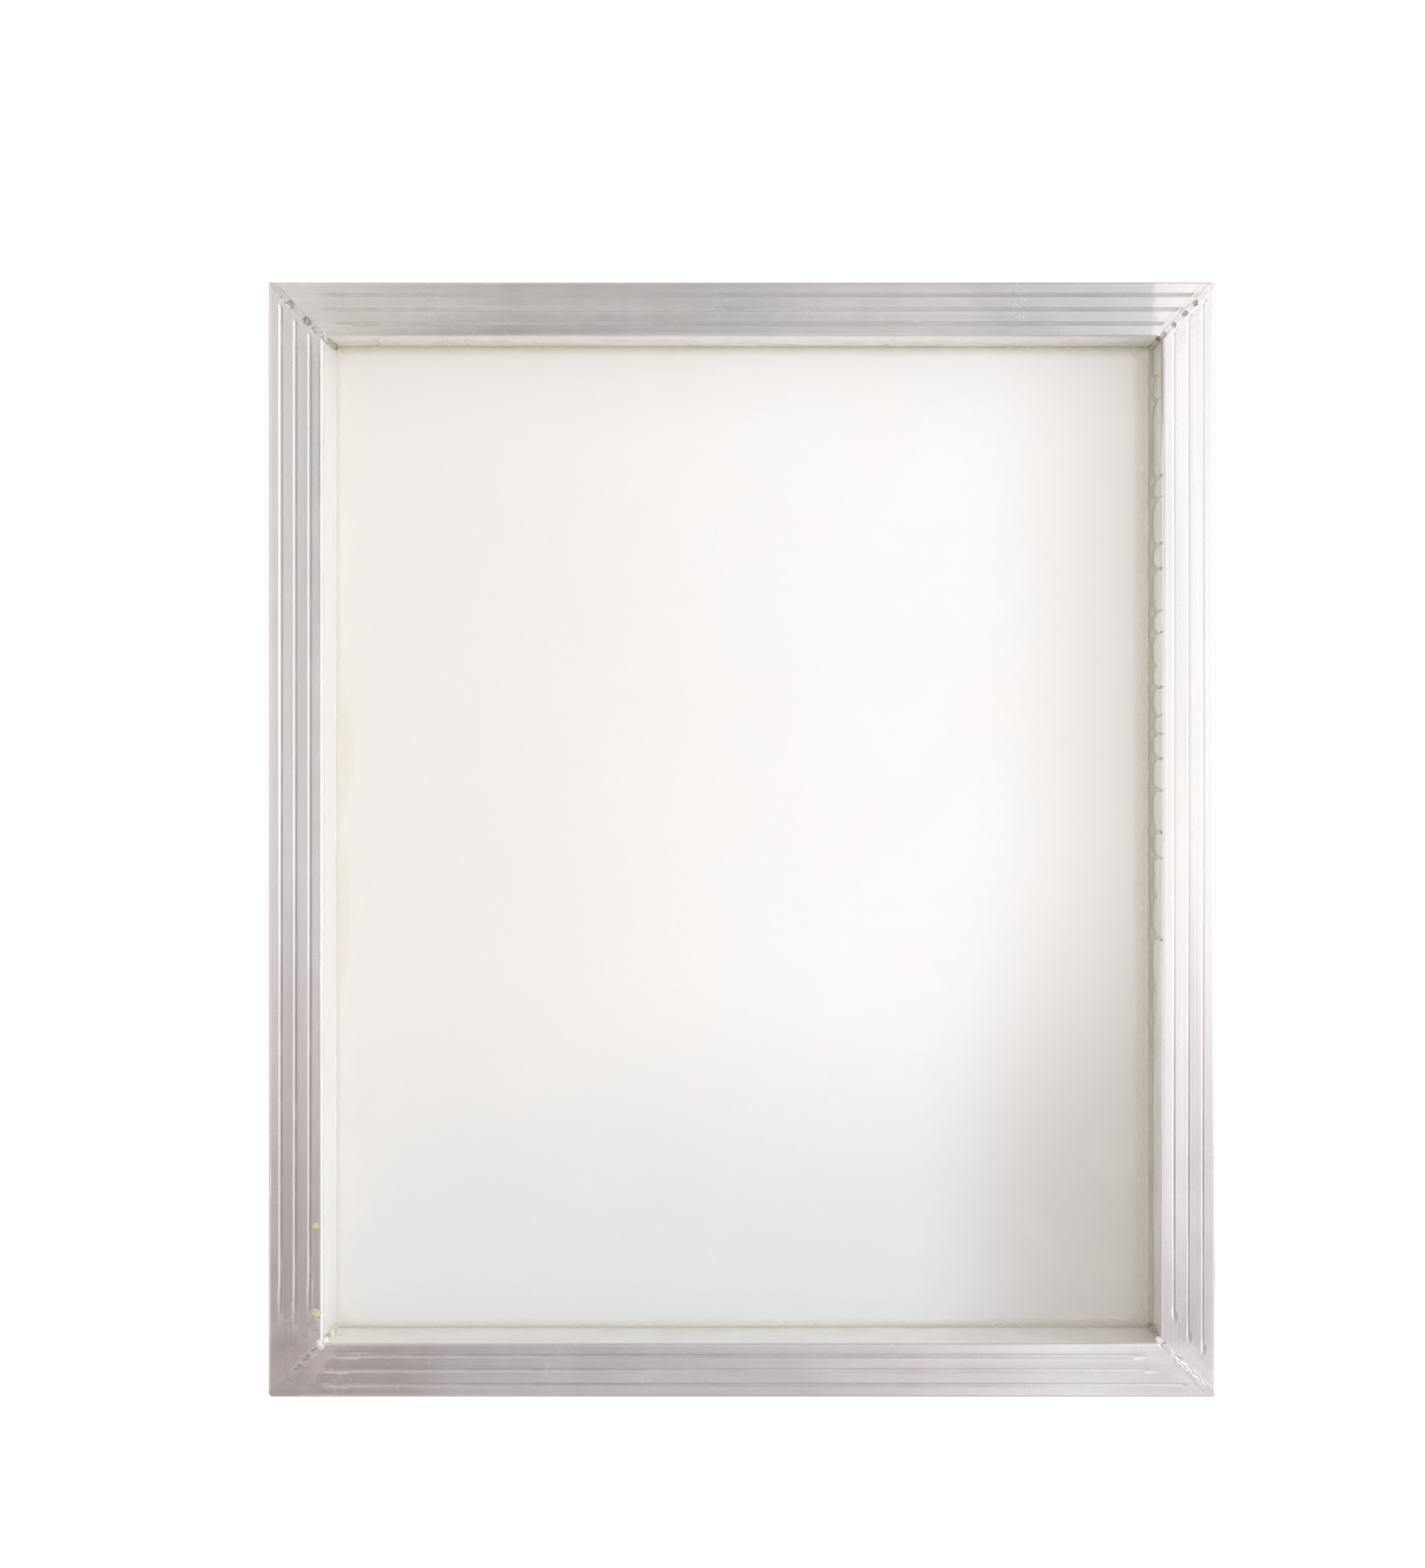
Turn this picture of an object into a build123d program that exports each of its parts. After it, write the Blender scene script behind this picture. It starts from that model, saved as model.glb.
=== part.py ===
from build123d import *
from math import sqrt
from typing import NamedTuple
import os

# Screen printing frame: four mitred, welded aluminium extrusions with a woven
# polyester mesh stretched over one side and bonded to it.
#
# It lies flat in the printing position, mesh side down. Millimetres.
#   origin  centre of the underside plane
#   +X      across the frame's width (short side), to the right
#   +Y      along the frame's length, towards the hinge end (back)
#   +Z      up, out of the open well where the squeegee works

os.makedirs("parts", exist_ok=True)

# ---------------------------------------------------------------------------
# Dimensions
# ---------------------------------------------------------------------------
# rails
FRAME_W = 510.0          # outside width (X)
FRAME_L = 600.0          # outside length (Y)
RAIL_W = 29.0            # width of a rail's broad face
RAIL_H = 25.0            # depth of a rail, through the frame
WALL = 1.5               # extrusion wall
EDGE_R = 1.0             # rounded long edges of the extrusion
BORE_R = 0.5             # rounded corners inside the hollow

# layers under the rails, from the underside up
COAT_T = 0.12            # adhesive brushed over the mesh margin
MESH_T = 0.13            # woven mesh
BOND_T = 0.15            # adhesive between mesh and rail
MESH_INSET = 1.0         # the mesh is trimmed this far inside the outer edge
COAT_INSET = 2.0         # the coat stops this far inside the outer edge
COAT_INNER = 2.5         # and runs this far past the rail's inner edge
LAYER_CORNER_R = 2.0     # outer corners of mesh, bond and coat
COAT_INNER_R = 3.0       # inner corners of the coat

# grooves: three arcs along each broad face
GROOVE_PITCH = 7.75
GROOVE_W = 2.2
GROOVE_D = 0.45
UNDER_STOP = 14.0        # underside grooves stop this far from the mitre
SHARP_RAMP = 1.6         # an abrupt groove end, beside a weld
LONG_RAMP = 7.0          # a groove end faded by the grinding disc
SHARP_LIMIT = 10.0       # grooves that stop nearer the mitre end abruptly
GROOVE_END_RATIO = 0.98  # cutter tip radius over its axis height, to clear the face

# welds
SEAM_HALF_TOP = 2.0      # half width of the seam weld at the face
SEAM_HALF_ROOT = 0.5     # half width at its root
SEAM_D = 0.95            # depth of the seam weld, less than the wall
SEAM_RISE = 0.5          # the seam cutter stands this far proud of the face
SEAM_OVERRUN = 3.0       # and overruns the rail by this in X and Y at each end
CORNER_LEG = 3.2         # leg of the prepared outer corner, filled by weld
PREP_MARGIN = 1.0        # the corner prism reaches this far outside the rails
BEAD_LEG = 3.0           # leg of the bead down each inside corner
BEAD_MID = 0.64          # middle of the bead's face, as a share of its leg
BEAD_GAP = 0.1           # between the bead and the adhesive fillet below it
TRIM_SIDE = 20.0         # the corner trimming block's extra width and length
TRIM_END = 2.0           # and its overrun above and below the rails

# adhesive in the angle between inner wall and mesh
FILLET_LEG = 1.8
RUN_H = 0.5              # how far a run stands off the wall
SPOT_TOP_RATIO = 0.62    # flat top of a spot over its base

# levels
Z_MESH = COAT_T
Z_BOND = Z_MESH + MESH_T
Z_RAIL = Z_BOND + BOND_T
Z_TOP = Z_RAIL + RAIL_H
Z_MID = Z_RAIL + RAIL_H / 2
Z_RUN_FOOT = Z_RAIL + FILLET_LEG

HALF_W, HALF_L = FRAME_W / 2, FRAME_L / 2
INNER_W, INNER_L = HALF_W - RAIL_W, HALF_L - RAIL_W  # half sizes of the opening
MESH_W, MESH_L = FRAME_W - 2 * MESH_INSET, FRAME_L - 2 * MESH_INSET

# radius of the groove cutter: leaves GROOVE_W at the face when GROOVE_D deep
GROOVE_R = (GROOVE_W**2 / 4 + GROOVE_D**2) / (2 * GROOVE_D)
GROOVE_AXIS = GROOVE_R - GROOVE_D                    # from the face to its axis
GROOVE_END_R = GROOVE_AXIS * GROOVE_END_RATIO

# ---------------------------------------------------------------------------
# Tables
# ---------------------------------------------------------------------------
# corner: (x sign, y sign, finished outer radius)
CORNERS = {
    "back_left": (-1, 1, 0.7),
    "back_right": (1, 1, 2.4),
    "front_left": (-1, -1, 2.2),
    "front_right": (1, -1, 2.0),
}


class Side(NamedTuple):
    """One side of the frame; its bars are extruded from one end to the other."""
    sign: int            # -1 or 1: which side of the centre it lies on
    along_y: bool        # runs along Y, otherwise along X
    plane: Plane         # section plane at one end, its local y pointing up
    half_across: float   # from the frame's centre to the side's outer edge
    half_along: float    # half the side's outer length
    corners: tuple       # first end, last end


SIDE_PLANE_XZ = Plane.XZ.offset(-HALF_L)
SIDE_PLANE_YZ = Plane.YZ.offset(-HALF_W)
SIDES = {
    "left": Side(-1, True, SIDE_PLANE_XZ, HALF_W, HALF_L, ("front_left", "back_left")),
    "right": Side(1, True, SIDE_PLANE_XZ, HALF_W, HALF_L, ("front_right", "back_right")),
    "back": Side(1, False, SIDE_PLANE_YZ, HALF_L, HALF_W, ("back_left", "back_right")),
    "front": Side(-1, False, SIDE_PLANE_YZ, HALF_L, HALF_W, ("front_left", "front_right")),
}

# Where the upper-face grooves fade out, measured along the rail from the mitre.
# Each corner was ground by hand, so no two are alike. Per rail: three
# (first end, last end) pairs, for the outer, middle and inner groove.
# The first end is the front of left and right rails, the left of the others.
GROOVE_STOPS = {
    "left": [(37.0, 3.0), (24.0, 3.5), (23.0, 4.0)],
    "right": [(13.0, 3.4), (12.0, 3.5), (15.0, 3.6)],
    "back": [(20.0, 3.0), (13.0, 3.0), (12.0, 6.0)],
    "front": [(24.0, 9.0), (15.0, 15.0), (14.0, 13.0)],
}

# Inner edge of the bond, which bleeds past the inner walls.
# Left side, from the back: (distance in from the left wall, y)
LEFT_BLEED = [
    (3.6, 262.0), (3.4, 180.0), (3.8, 110.0), (7.0, 84.0), (10.0, 66.0),
    (9.6, 30.0), (6.0, 6.0), (8.4, -12.0), (8.6, -60.0), (5.4, -84.0),
    (4.2, -130.0), (4.0, -200.0), (4.0, -264.0),
]
# Arcs at the right corners: (distance in from the right wall, from the end wall)
FRONT_RIGHT_BLEED = [(6.5, 4.0), (5.4, 5.0), (5.0, 6.5)]
BACK_RIGHT_BLEED = [(5.0, 9.5), (6.4, 6.4), (9.5, 5.0)]

# Runs of adhesive up the inner walls:
# (position along the wall, width, top level above the underside)
FULL = Z_TOP - EDGE_R
RUNS = {
    "right": [
        (251.3, 1.6, FULL), (238.5, 1.3, FULL), (196.1, 1.8, FULL), (184.9, 1.4, FULL),
        (159.8, 1.6, FULL), (146.5, 2.0, FULL), (123.5, 1.6, FULL), (111.8, 1.5, FULL),
        (94.4, 1.4, 13.0), (82.2, 1.8, FULL), (66.8, 1.5, FULL), (57.1, 1.3, FULL),
        (43.8, 1.7, FULL), (26.4, 1.6, FULL), (4.0, 1.9, FULL), (-9.8, 1.4, FULL),
        (-19.5, 1.6, 8.0), (-31.8, 1.5, 14.0), (-53.8, 1.8, FULL), (-81.4, 1.6, 8.0),
        (-101.8, 1.4, 7.0),
    ],
    "back": [
        (-200.1, 4.5, 17.0), (-162.2, 2.6, 22.0), (-151.0, 1.6, 15.0),
        (-113.6, 1.4, 20.0), (78.7, 2.0, 6.5),
    ],
}

# Spots of cured adhesive on the left rail, beside its inner edge, the last one
# near the front inner corner: (x, y, radius, height)
SPOTS = [
    (-229.4, -100.8, 1.3, 0.30), (-229.3, -207.6, 1.8, 0.35),
    (-229.1, -254.6, 1.7, 0.35), (-227.7, -271.8, 2.2, 0.35),
]


def save(part, name):
    part.label = name
    export_step(part, f"parts/{name}.step")


def mitre(side, corner):
    """Plane of the mitre at a corner, its normal pointing into the side's bar."""
    sx, sy, _ = CORNERS[corner]
    normal = (sx, -sy, 0) if side.along_y else (-sx, sy, 0)
    return Plane(origin=(sx * HALF_W, sy * HALF_L, 0), z_dir=normal)


# ---------------------------------------------------------------------------
# Cutters: they shape the rails, and the adhesive and welds that fill them
# ---------------------------------------------------------------------------
def groove_cutter(start, along, across, length, ramp_first, ramp_last):
    """A round bar with tapered ends, which sinks out of the face at each end."""
    with BuildPart() as cutter:
        with BuildSketch(Plane(origin=start, x_dir=along, z_dir=across)):
            with BuildLine():
                Polyline(
                    (0, 0),
                    (0, GROOVE_END_R),
                    (ramp_first, GROOVE_R),
                    (length - ramp_last, GROOVE_R),
                    (length, GROOVE_END_R),
                    (length, 0),
                    close=True,
                )
            make_face()
        revolve(axis=Axis(start, along))
    return cutter.part


def rail_grooves(side, axis_z, stops):
    """The three groove cutters of one broad face, outer groove first."""
    cutters = []
    for i, (first, last) in enumerate(stops):
        inset = RAIL_W / 2 + (i - 1) * GROOVE_PITCH  # from the rail's outer edge
        offset = (side.half_across - inset) * side.sign
        begin = -(side.half_along - inset) + first
        end = (side.half_along - inset) - last
        ramps = [SHARP_RAMP if stop < SHARP_LIMIT else LONG_RAMP for stop in (first, last)]
        if side.along_y:
            start, along, across = (offset, begin, axis_z), (0, 1, 0), (1, 0, 0)
        else:
            start, along, across = (begin, offset, axis_z), (1, 0, 0), (0, 1, 0)
        cutters.append(groove_cutter(start, along, across, end - begin, *ramps))
    return cutters


def corner_prep(sx, sy):
    """Triangular prism off an outer corner, later weld metal."""
    out_x, out_y = HALF_W + PREP_MARGIN, HALF_L + PREP_MARGIN
    leg = CORNER_LEG + 2 * PREP_MARGIN
    with BuildPart() as prep:
        with BuildSketch(Plane.XY.offset(Z_RAIL - PREP_MARGIN)):
            with BuildLine():
                Polyline(
                    (sx * out_x, sy * out_y),
                    (sx * (out_x - leg), sy * out_y),
                    (sx * out_x, sy * (out_y - leg)),
                    close=True,
                )
            make_face()
        extrude(amount=RAIL_H + 2 * PREP_MARGIN)
    return prep.part


def seam_vee(sx, sy, level, inward):
    """The V along a mitre, open at the face at this level. The section's local
    y points down; inward is 1 to cut downwards and -1 to cut upwards."""
    start = (sx * (HALF_W + SEAM_OVERRUN), sy * (HALF_L + SEAM_OVERRUN), level)
    slope = (SEAM_HALF_TOP - SEAM_HALF_ROOT) / SEAM_D
    half_open = SEAM_HALF_TOP + SEAM_RISE * slope
    with BuildPart() as vee:
        with BuildSketch(Plane(origin=start, x_dir=(-sy, sx, 0), z_dir=(-sx, -sy, 0))):
            with BuildLine():
                Polyline(
                    (-half_open, -inward * SEAM_RISE),
                    (half_open, -inward * SEAM_RISE),
                    (SEAM_HALF_ROOT, inward * SEAM_D),
                    (-SEAM_HALF_ROOT, inward * SEAM_D),
                    close=True,
                )
            make_face()
        extrude(amount=(RAIL_W + 2 * SEAM_OVERRUN) * sqrt(2))
    return vee.part


def solid_bars():
    """The four rails as one solid ring, which gives the welds their skin."""
    with BuildPart() as bars:
        with BuildSketch(Plane.XY.offset(Z_RAIL)):
            Rectangle(FRAME_W, FRAME_L)
            Rectangle(2 * INNER_W, 2 * INNER_L, mode=Mode.SUBTRACT)
        extrude(amount=RAIL_H)
        fillet(
            bars.edges().filter_by(GeomType.LINE).filter_by(Axis.Z, reverse=True),
            radius=EDGE_R,
        )
    return bars.part


# ---------------------------------------------------------------------------
# Rails and welds
# ---------------------------------------------------------------------------
def rail(side, grooves, face_vees, under_vees, preps):
    """A hollow extrusion, mitred, grooved and prepared for welding."""
    centre = side.sign * (side.half_across - RAIL_W / 2)
    with BuildPart() as bar:
        with BuildSketch(side.plane):
            with Locations((centre, Z_MID)):
                RectangleRounded(RAIL_W, RAIL_H, EDGE_R)
                RectangleRounded(
                    RAIL_W - 2 * WALL, RAIL_H - 2 * WALL, BORE_R, mode=Mode.SUBTRACT
                )
        extrude(amount=2 * side.half_along)
        for corner in side.corners:
            split(bisect_by=mitre(side, corner))
        add(grooves, mode=Mode.SUBTRACT)
        for corner in side.corners:
            add(face_vees[corner], mode=Mode.SUBTRACT)
            add(under_vees[corner], mode=Mode.SUBTRACT)
            add(preps[corner], mode=Mode.SUBTRACT)
    return bar.part


def weld_seam(vee, bars, prep):
    """A seam weld along a mitre, dressed flush with the rails."""
    with BuildPart() as weld:
        add(vee)
        add(bars, mode=Mode.INTERSECT)
        add(prep, mode=Mode.SUBTRACT)
    return weld.part


def weld_outer(sx, sy, radius, bars, prep):
    """The weld on an outside corner, ground to a radius."""
    with BuildPart() as weld:
        add(prep)
        add(bars, mode=Mode.INTERSECT)
        # a block that meets the frame's edges at this corner only
        with BuildSketch(Plane.XY.offset(Z_RAIL - TRIM_END)) as outline:
            with Locations((-sx * TRIM_SIDE / 2, -sy * TRIM_SIDE / 2)):
                Rectangle(FRAME_W + TRIM_SIDE, FRAME_L + TRIM_SIDE)
            fillet(
                outline.vertices().sort_by_distance((sx * HALF_W, sy * HALF_L, 0))[0],
                radius=radius,
            )
        extrude(amount=RAIL_H + 2 * TRIM_END, mode=Mode.INTERSECT)
    return weld.part


def weld_inner(sx, sy):
    """The bead left in an inside corner, above the adhesive."""
    corner = (sx * INNER_W, sy * INNER_L)
    end_x = (sx * (INNER_W - BEAD_LEG), sy * INNER_L)
    end_y = (sx * INNER_W, sy * (INNER_L - BEAD_LEG))
    middle = (sx * (INNER_W - BEAD_MID * BEAD_LEG), sy * (INNER_L - BEAD_MID * BEAD_LEG))
    with BuildPart() as weld:
        with BuildSketch(Plane.XY.offset(Z_RAIL + FILLET_LEG + BEAD_GAP)):
            with BuildLine():
                Line(corner, end_x)
                ThreePointArc(end_x, middle, end_y)
                Line(end_y, corner)
            make_face()
        extrude(amount=RAIL_H - FILLET_LEG - BEAD_GAP - EDGE_R)
    return weld.part


# ---------------------------------------------------------------------------
# Mesh and adhesive
# ---------------------------------------------------------------------------
def screen_mesh():
    with BuildPart() as mesh:
        with BuildSketch(Plane.XY.offset(Z_MESH)):
            RectangleRounded(MESH_W, MESH_L, LAYER_CORNER_R)
        extrude(amount=MESH_T)
    return mesh.part


def groove_keys(cutters):
    """The adhesive that fills the underside grooves."""
    with BuildPart() as keys:
        add(cutters)
        with BuildSketch(Plane.XY.offset(Z_RAIL)):
            Rectangle(FRAME_W, FRAME_L)
        extrude(amount=2 * GROOVE_D, mode=Mode.INTERSECT)
    return keys.part


def adhesive_bond(keys):
    """Adhesive between mesh and rails. It fills the underside grooves and
    bleeds past the inner walls as a thin film of uneven width."""
    left = [(-INNER_W + bleed, y) for bleed, y in LEFT_BLEED]
    front_right = [(INNER_W - dx, -INNER_L + dy) for dx, dy in FRONT_RIGHT_BLEED]
    back_right = [(INNER_W - dx, INNER_L - dy) for dx, dy in BACK_RIGHT_BLEED]
    with BuildPart() as bond:
        with BuildSketch(Plane.XY.offset(Z_BOND)):
            RectangleRounded(MESH_W, MESH_L, LAYER_CORNER_R)
        extrude(amount=BOND_T)
        with BuildSketch(Plane.XY.offset(Z_BOND)):
            with BuildLine():
                Spline(left)
                Line(left[-1], front_right[0])
                ThreePointArc(*front_right)
                Line(front_right[-1], back_right[0])
                ThreePointArc(*back_right)
                Line(back_right[-1], left[0])
            make_face()
        extrude(amount=BOND_T, mode=Mode.SUBTRACT)
        add(keys)
    return bond.part


def adhesive_coat():
    """Adhesive brushed over the margin of the mesh, on the underside."""
    with BuildPart() as coat:
        with BuildSketch(Plane.XY):
            RectangleRounded(
                FRAME_W - 2 * COAT_INSET, FRAME_L - 2 * COAT_INSET, LAYER_CORNER_R
            )
            RectangleRounded(
                2 * (INNER_W - COAT_INNER),
                2 * (INNER_L - COAT_INNER),
                COAT_INNER_R,
                mode=Mode.SUBTRACT,
            )
        extrude(amount=COAT_T)
    return coat.part


def adhesive_fillet(side):
    """Adhesive in the angle between an inner wall and the mesh. Its back
    follows the rounded lower edge of the rail."""
    wall = side.sign * (side.half_across - RAIL_W)
    inward = -side.sign
    arc_mid = 1 - 1 / sqrt(2)  # middle of a quarter arc, as a share of its radius
    wall_top = (wall, Z_RAIL + FILLET_LEG)
    edge_top = (wall, Z_RAIL + EDGE_R)
    edge_mid = (wall - inward * EDGE_R * arc_mid, Z_RAIL + EDGE_R * arc_mid)
    edge_foot = (wall - inward * EDGE_R, Z_RAIL)
    toe = (wall + inward * FILLET_LEG, Z_RAIL)
    face_mid = (wall + inward * FILLET_LEG * arc_mid, Z_RAIL + FILLET_LEG * arc_mid)
    with BuildPart() as strip:
        with BuildSketch(side.plane):
            with BuildLine():
                Line(wall_top, edge_top)
                ThreePointArc(edge_top, edge_mid, edge_foot)
                Line(edge_foot, toe)
                ThreePointArc(toe, face_mid, wall_top)
            make_face()
        extrude(amount=2 * side.half_along)
        for corner in side.corners:
            split(bisect_by=mitre(side, corner))
    return strip.part


def adhesive_runs(side, runs):
    """Runs up the inner wall of the right or back rail, from the fillet up."""
    wall = side.half_across - RAIL_W
    with BuildPart() as drips:
        for position, width, top in runs:
            # (across, along) the wall, swapped for a wall that runs along X
            points = [
                (wall, position - width / 2),
                (wall, position + width / 2),
                (wall - RUN_H, position),
            ]
            if not side.along_y:
                points = [(along, across) for across, along in points]
            first, last, crest = points
            with BuildSketch(Plane.XY.offset(Z_RUN_FOOT)):
                with BuildLine():
                    Line(first, last)
                    ThreePointArc(last, crest, first)
                make_face()
            extrude(amount=top - Z_RUN_FOOT)
    return drips.part


def adhesive_spots():
    """Shallow drops, flattened on top and flat where they sit on the rail."""
    with BuildPart() as drops:
        for x, y, radius, height in SPOTS:
            with Locations((x, y, Z_TOP)):
                Cone(
                    radius,
                    SPOT_TOP_RATIO * radius,
                    height,
                    align=(Align.CENTER, Align.CENTER, Align.MIN),
                )
    return drops.part


# ---------------------------------------------------------------------------
# Build and export
# ---------------------------------------------------------------------------
upper_grooves = {
    name: rail_grooves(side, Z_TOP + GROOVE_AXIS, GROOVE_STOPS[name])
    for name, side in SIDES.items()
}
under_grooves = {
    name: rail_grooves(side, Z_RAIL - GROOVE_AXIS, [(UNDER_STOP, UNDER_STOP)] * 3)
    for name, side in SIDES.items()
}
face_vees = {name: seam_vee(sx, sy, Z_TOP, 1) for name, (sx, sy, _) in CORNERS.items()}
under_vees = {name: seam_vee(sx, sy, Z_RAIL, -1) for name, (sx, sy, _) in CORNERS.items()}
preps = {name: corner_prep(sx, sy) for name, (sx, sy, _) in CORNERS.items()}
bars = solid_bars()

for name, side in SIDES.items():
    grooves = upper_grooves[name] + under_grooves[name]
    save(rail(side, grooves, face_vees, under_vees, preps), f"rail_{name}")
    save(adhesive_fillet(side), f"adhesive_fillet_{name}")

for name, (sx, sy, radius) in CORNERS.items():
    save(weld_seam(face_vees[name], bars, preps[name]), f"weld_face_{name}")
    save(weld_seam(under_vees[name], bars, preps[name]), f"weld_under_{name}")
    save(weld_outer(sx, sy, radius, bars, preps[name]), f"weld_outer_{name}")
    save(weld_inner(sx, sy), f"weld_inner_{name}")

all_under_grooves = [cutter for cutters in under_grooves.values() for cutter in cutters]
save(screen_mesh(), "screen_mesh")
save(adhesive_bond(groove_keys(all_under_grooves)), "adhesive_bond")
save(adhesive_coat(), "adhesive_coat")
for name, runs in RUNS.items():
    save(adhesive_runs(SIDES[name], runs), f"adhesive_runs_{name}")
save(adhesive_spots(), "adhesive_spots")
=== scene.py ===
import math

import bmesh
import bpy
import numpy as np
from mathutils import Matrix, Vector


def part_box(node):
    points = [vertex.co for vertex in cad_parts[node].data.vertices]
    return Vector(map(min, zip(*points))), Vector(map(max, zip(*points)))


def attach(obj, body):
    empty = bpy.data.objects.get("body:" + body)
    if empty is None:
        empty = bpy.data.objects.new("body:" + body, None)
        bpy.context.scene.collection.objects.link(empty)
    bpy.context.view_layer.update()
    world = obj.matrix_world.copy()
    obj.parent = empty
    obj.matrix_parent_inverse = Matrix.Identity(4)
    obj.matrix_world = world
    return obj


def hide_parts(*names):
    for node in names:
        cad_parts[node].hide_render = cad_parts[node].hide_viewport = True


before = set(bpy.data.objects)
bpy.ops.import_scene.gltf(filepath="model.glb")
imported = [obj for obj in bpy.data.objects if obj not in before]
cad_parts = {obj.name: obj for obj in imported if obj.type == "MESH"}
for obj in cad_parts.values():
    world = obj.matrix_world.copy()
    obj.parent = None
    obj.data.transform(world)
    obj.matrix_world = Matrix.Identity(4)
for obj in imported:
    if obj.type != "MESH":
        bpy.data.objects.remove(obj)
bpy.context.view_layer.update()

# ---------------------------------------------------------------------------
# Sizes in millimetres: the frame's outline read from the imported CAD nodes, the section's details given
# ---------------------------------------------------------------------------
MM = 0.001


def node_box(name):
    lo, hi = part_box(name)
    return np.array(lo) * 1000.0, np.array(hi) * 1000.0


_lo = np.min([node_box("rail_" + r)[0] for r in ("left", "right", "back", "front")], axis=0)
_hi = np.max([node_box("rail_" + r)[1] for r in ("left", "right", "back", "front")], axis=0)
HW, HL = float(_hi[0]), float(_hi[1])            # outer half width and half length
Z_RAIL, Z_TOP = float(_lo[2]), float(_hi[2])     # underside and upper face of the rails
RAIL_W = float(node_box("rail_front")[1][1] - node_box("rail_front")[0][1])
RAIL_H = Z_TOP - Z_RAIL
IW, IL = HW - RAIL_W, HL - RAIL_W                # inner walls
Z_COAT0, Z_COAT1 = float(node_box("adhesive_coat")[0][2]), float(node_box("adhesive_coat")[1][2])
Z_MESH0, Z_MESH1 = float(node_box("screen_mesh")[0][2]), float(node_box("screen_mesh")[1][2])
MESH_HW, MESH_HL = float(node_box("screen_mesh")[1][0]), float(node_box("screen_mesh")[1][1])
COAT_HW, COAT_HL = float(node_box("adhesive_coat")[1][0]), float(node_box("adhesive_coat")[1][1])

WALL = 1.5
EDGE_R = 1.0
GROOVE_PITCH, GROOVE_W, GROOVE_D = 7.75, 2.2, 0.45
GROOVE_R = (GROOVE_W ** 2 / 4 + GROOVE_D ** 2) / (2 * GROOVE_D)

# corner name: (x sign, y sign, outer corner radius)
CORNERS = {
    "back_left": (-1, 1, 0.7),
    "back_right": (1, 1, 2.4),
    "front_left": (-1, -1, 2.2),
    "front_right": (1, -1, 2.0),
}


# ---------------------------------------------------------------------------
# Seeded noise
# ---------------------------------------------------------------------------
def _hash(ix, iy, seed):
    h = (ix.astype(np.int64) * 374761393 + iy.astype(np.int64) * 668265263 + seed * 362437) & 0xFFFFFFFF
    h = ((h ^ (h >> 13)) * 1274126177) & 0xFFFFFFFF
    h = (h ^ (h >> 16)) & 0xFFFFFFFF
    return h.astype(float) / 4294967295.0 * 2.0 - 1.0


def noise2(x, y, seed=0):
    """Smooth value noise in -1..1, one cell per unit."""
    x, y = np.broadcast_arrays(np.asarray(x, float), np.asarray(y, float))
    ix, iy = np.floor(x), np.floor(y)
    fx, fy = x - ix, y - iy
    fx, fy = fx * fx * (3 - 2 * fx), fy * fy * (3 - 2 * fy)
    a, b = _hash(ix, iy, seed), _hash(ix + 1, iy, seed)
    c, d = _hash(ix, iy + 1, seed), _hash(ix + 1, iy + 1, seed)
    return (a * (1 - fx) + b * fx) * (1 - fy) + (c * (1 - fx) + d * fx) * fy


def fbm2(x, y, seed=0, octaves=3, gain=0.5):
    x, y = np.asarray(x, float), np.asarray(y, float)
    total, amp, norm = 0.0, 1.0, 0.0
    for i in range(octaves):
        total = total + amp * noise2(x * 2 ** i, y * 2 ** i, seed + 17 * i)
        norm += amp
        amp *= gain
    return total / norm


def noise1(x, seed=0):
    return noise2(x, np.zeros_like(np.asarray(x, float)) + 0.37, seed)


def smooth(x, lo, hi):
    t = np.clip((np.asarray(x, float) - lo) / (hi - lo), 0, 1)
    return t * t * (3 - 2 * t)


# ---------------------------------------------------------------------------
# Mesh helpers
# ---------------------------------------------------------------------------
def new_object(name, verts_mm, faces, material, sharp=None, attrs=None):
    me = bpy.data.meshes.new(name)
    me.from_pydata([tuple(v) for v in np.asarray(verts_mm, float) * MM], [], faces)
    me.validate()
    me.update()
    for p in me.polygons:
        p.use_smooth = True
    if sharp is not None:
        me.set_sharp_from_angle(angle=math.radians(sharp))
    for key, values in (attrs or {}).items():
        if len(values) == len(me.vertices):
            at = me.attributes.new(key, "FLOAT", "POINT")
            at.data.foreach_set("value", np.asarray(values, np.float32))
    me.materials.append(material)
    ob = bpy.data.objects.new(name, me)
    bpy.context.scene.collection.objects.link(ob)
    return ob


def fix_normals(ob):
    bm = bmesh.new()
    bm.from_mesh(ob.data)
    bmesh.ops.recalc_face_normals(bm, faces=bm.faces)
    bm.to_mesh(ob.data)
    bm.free()
    ob.data.update()


def grid_faces(nu, nv, offset=0, flip=False, wrap_v=False):
    """Quads of a grid with nu rows of nv vertices."""
    faces = []
    last = nv if wrap_v else nv - 1
    for i in range(nu - 1):
        for j in range(last):
            a = offset + i * nv + j
            b = offset + i * nv + (j + 1) % nv
            c = offset + (i + 1) * nv + (j + 1) % nv
            d = offset + (i + 1) * nv + j
            faces.append((a, d, c, b) if flip else (a, b, c, d))
    return faces


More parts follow.
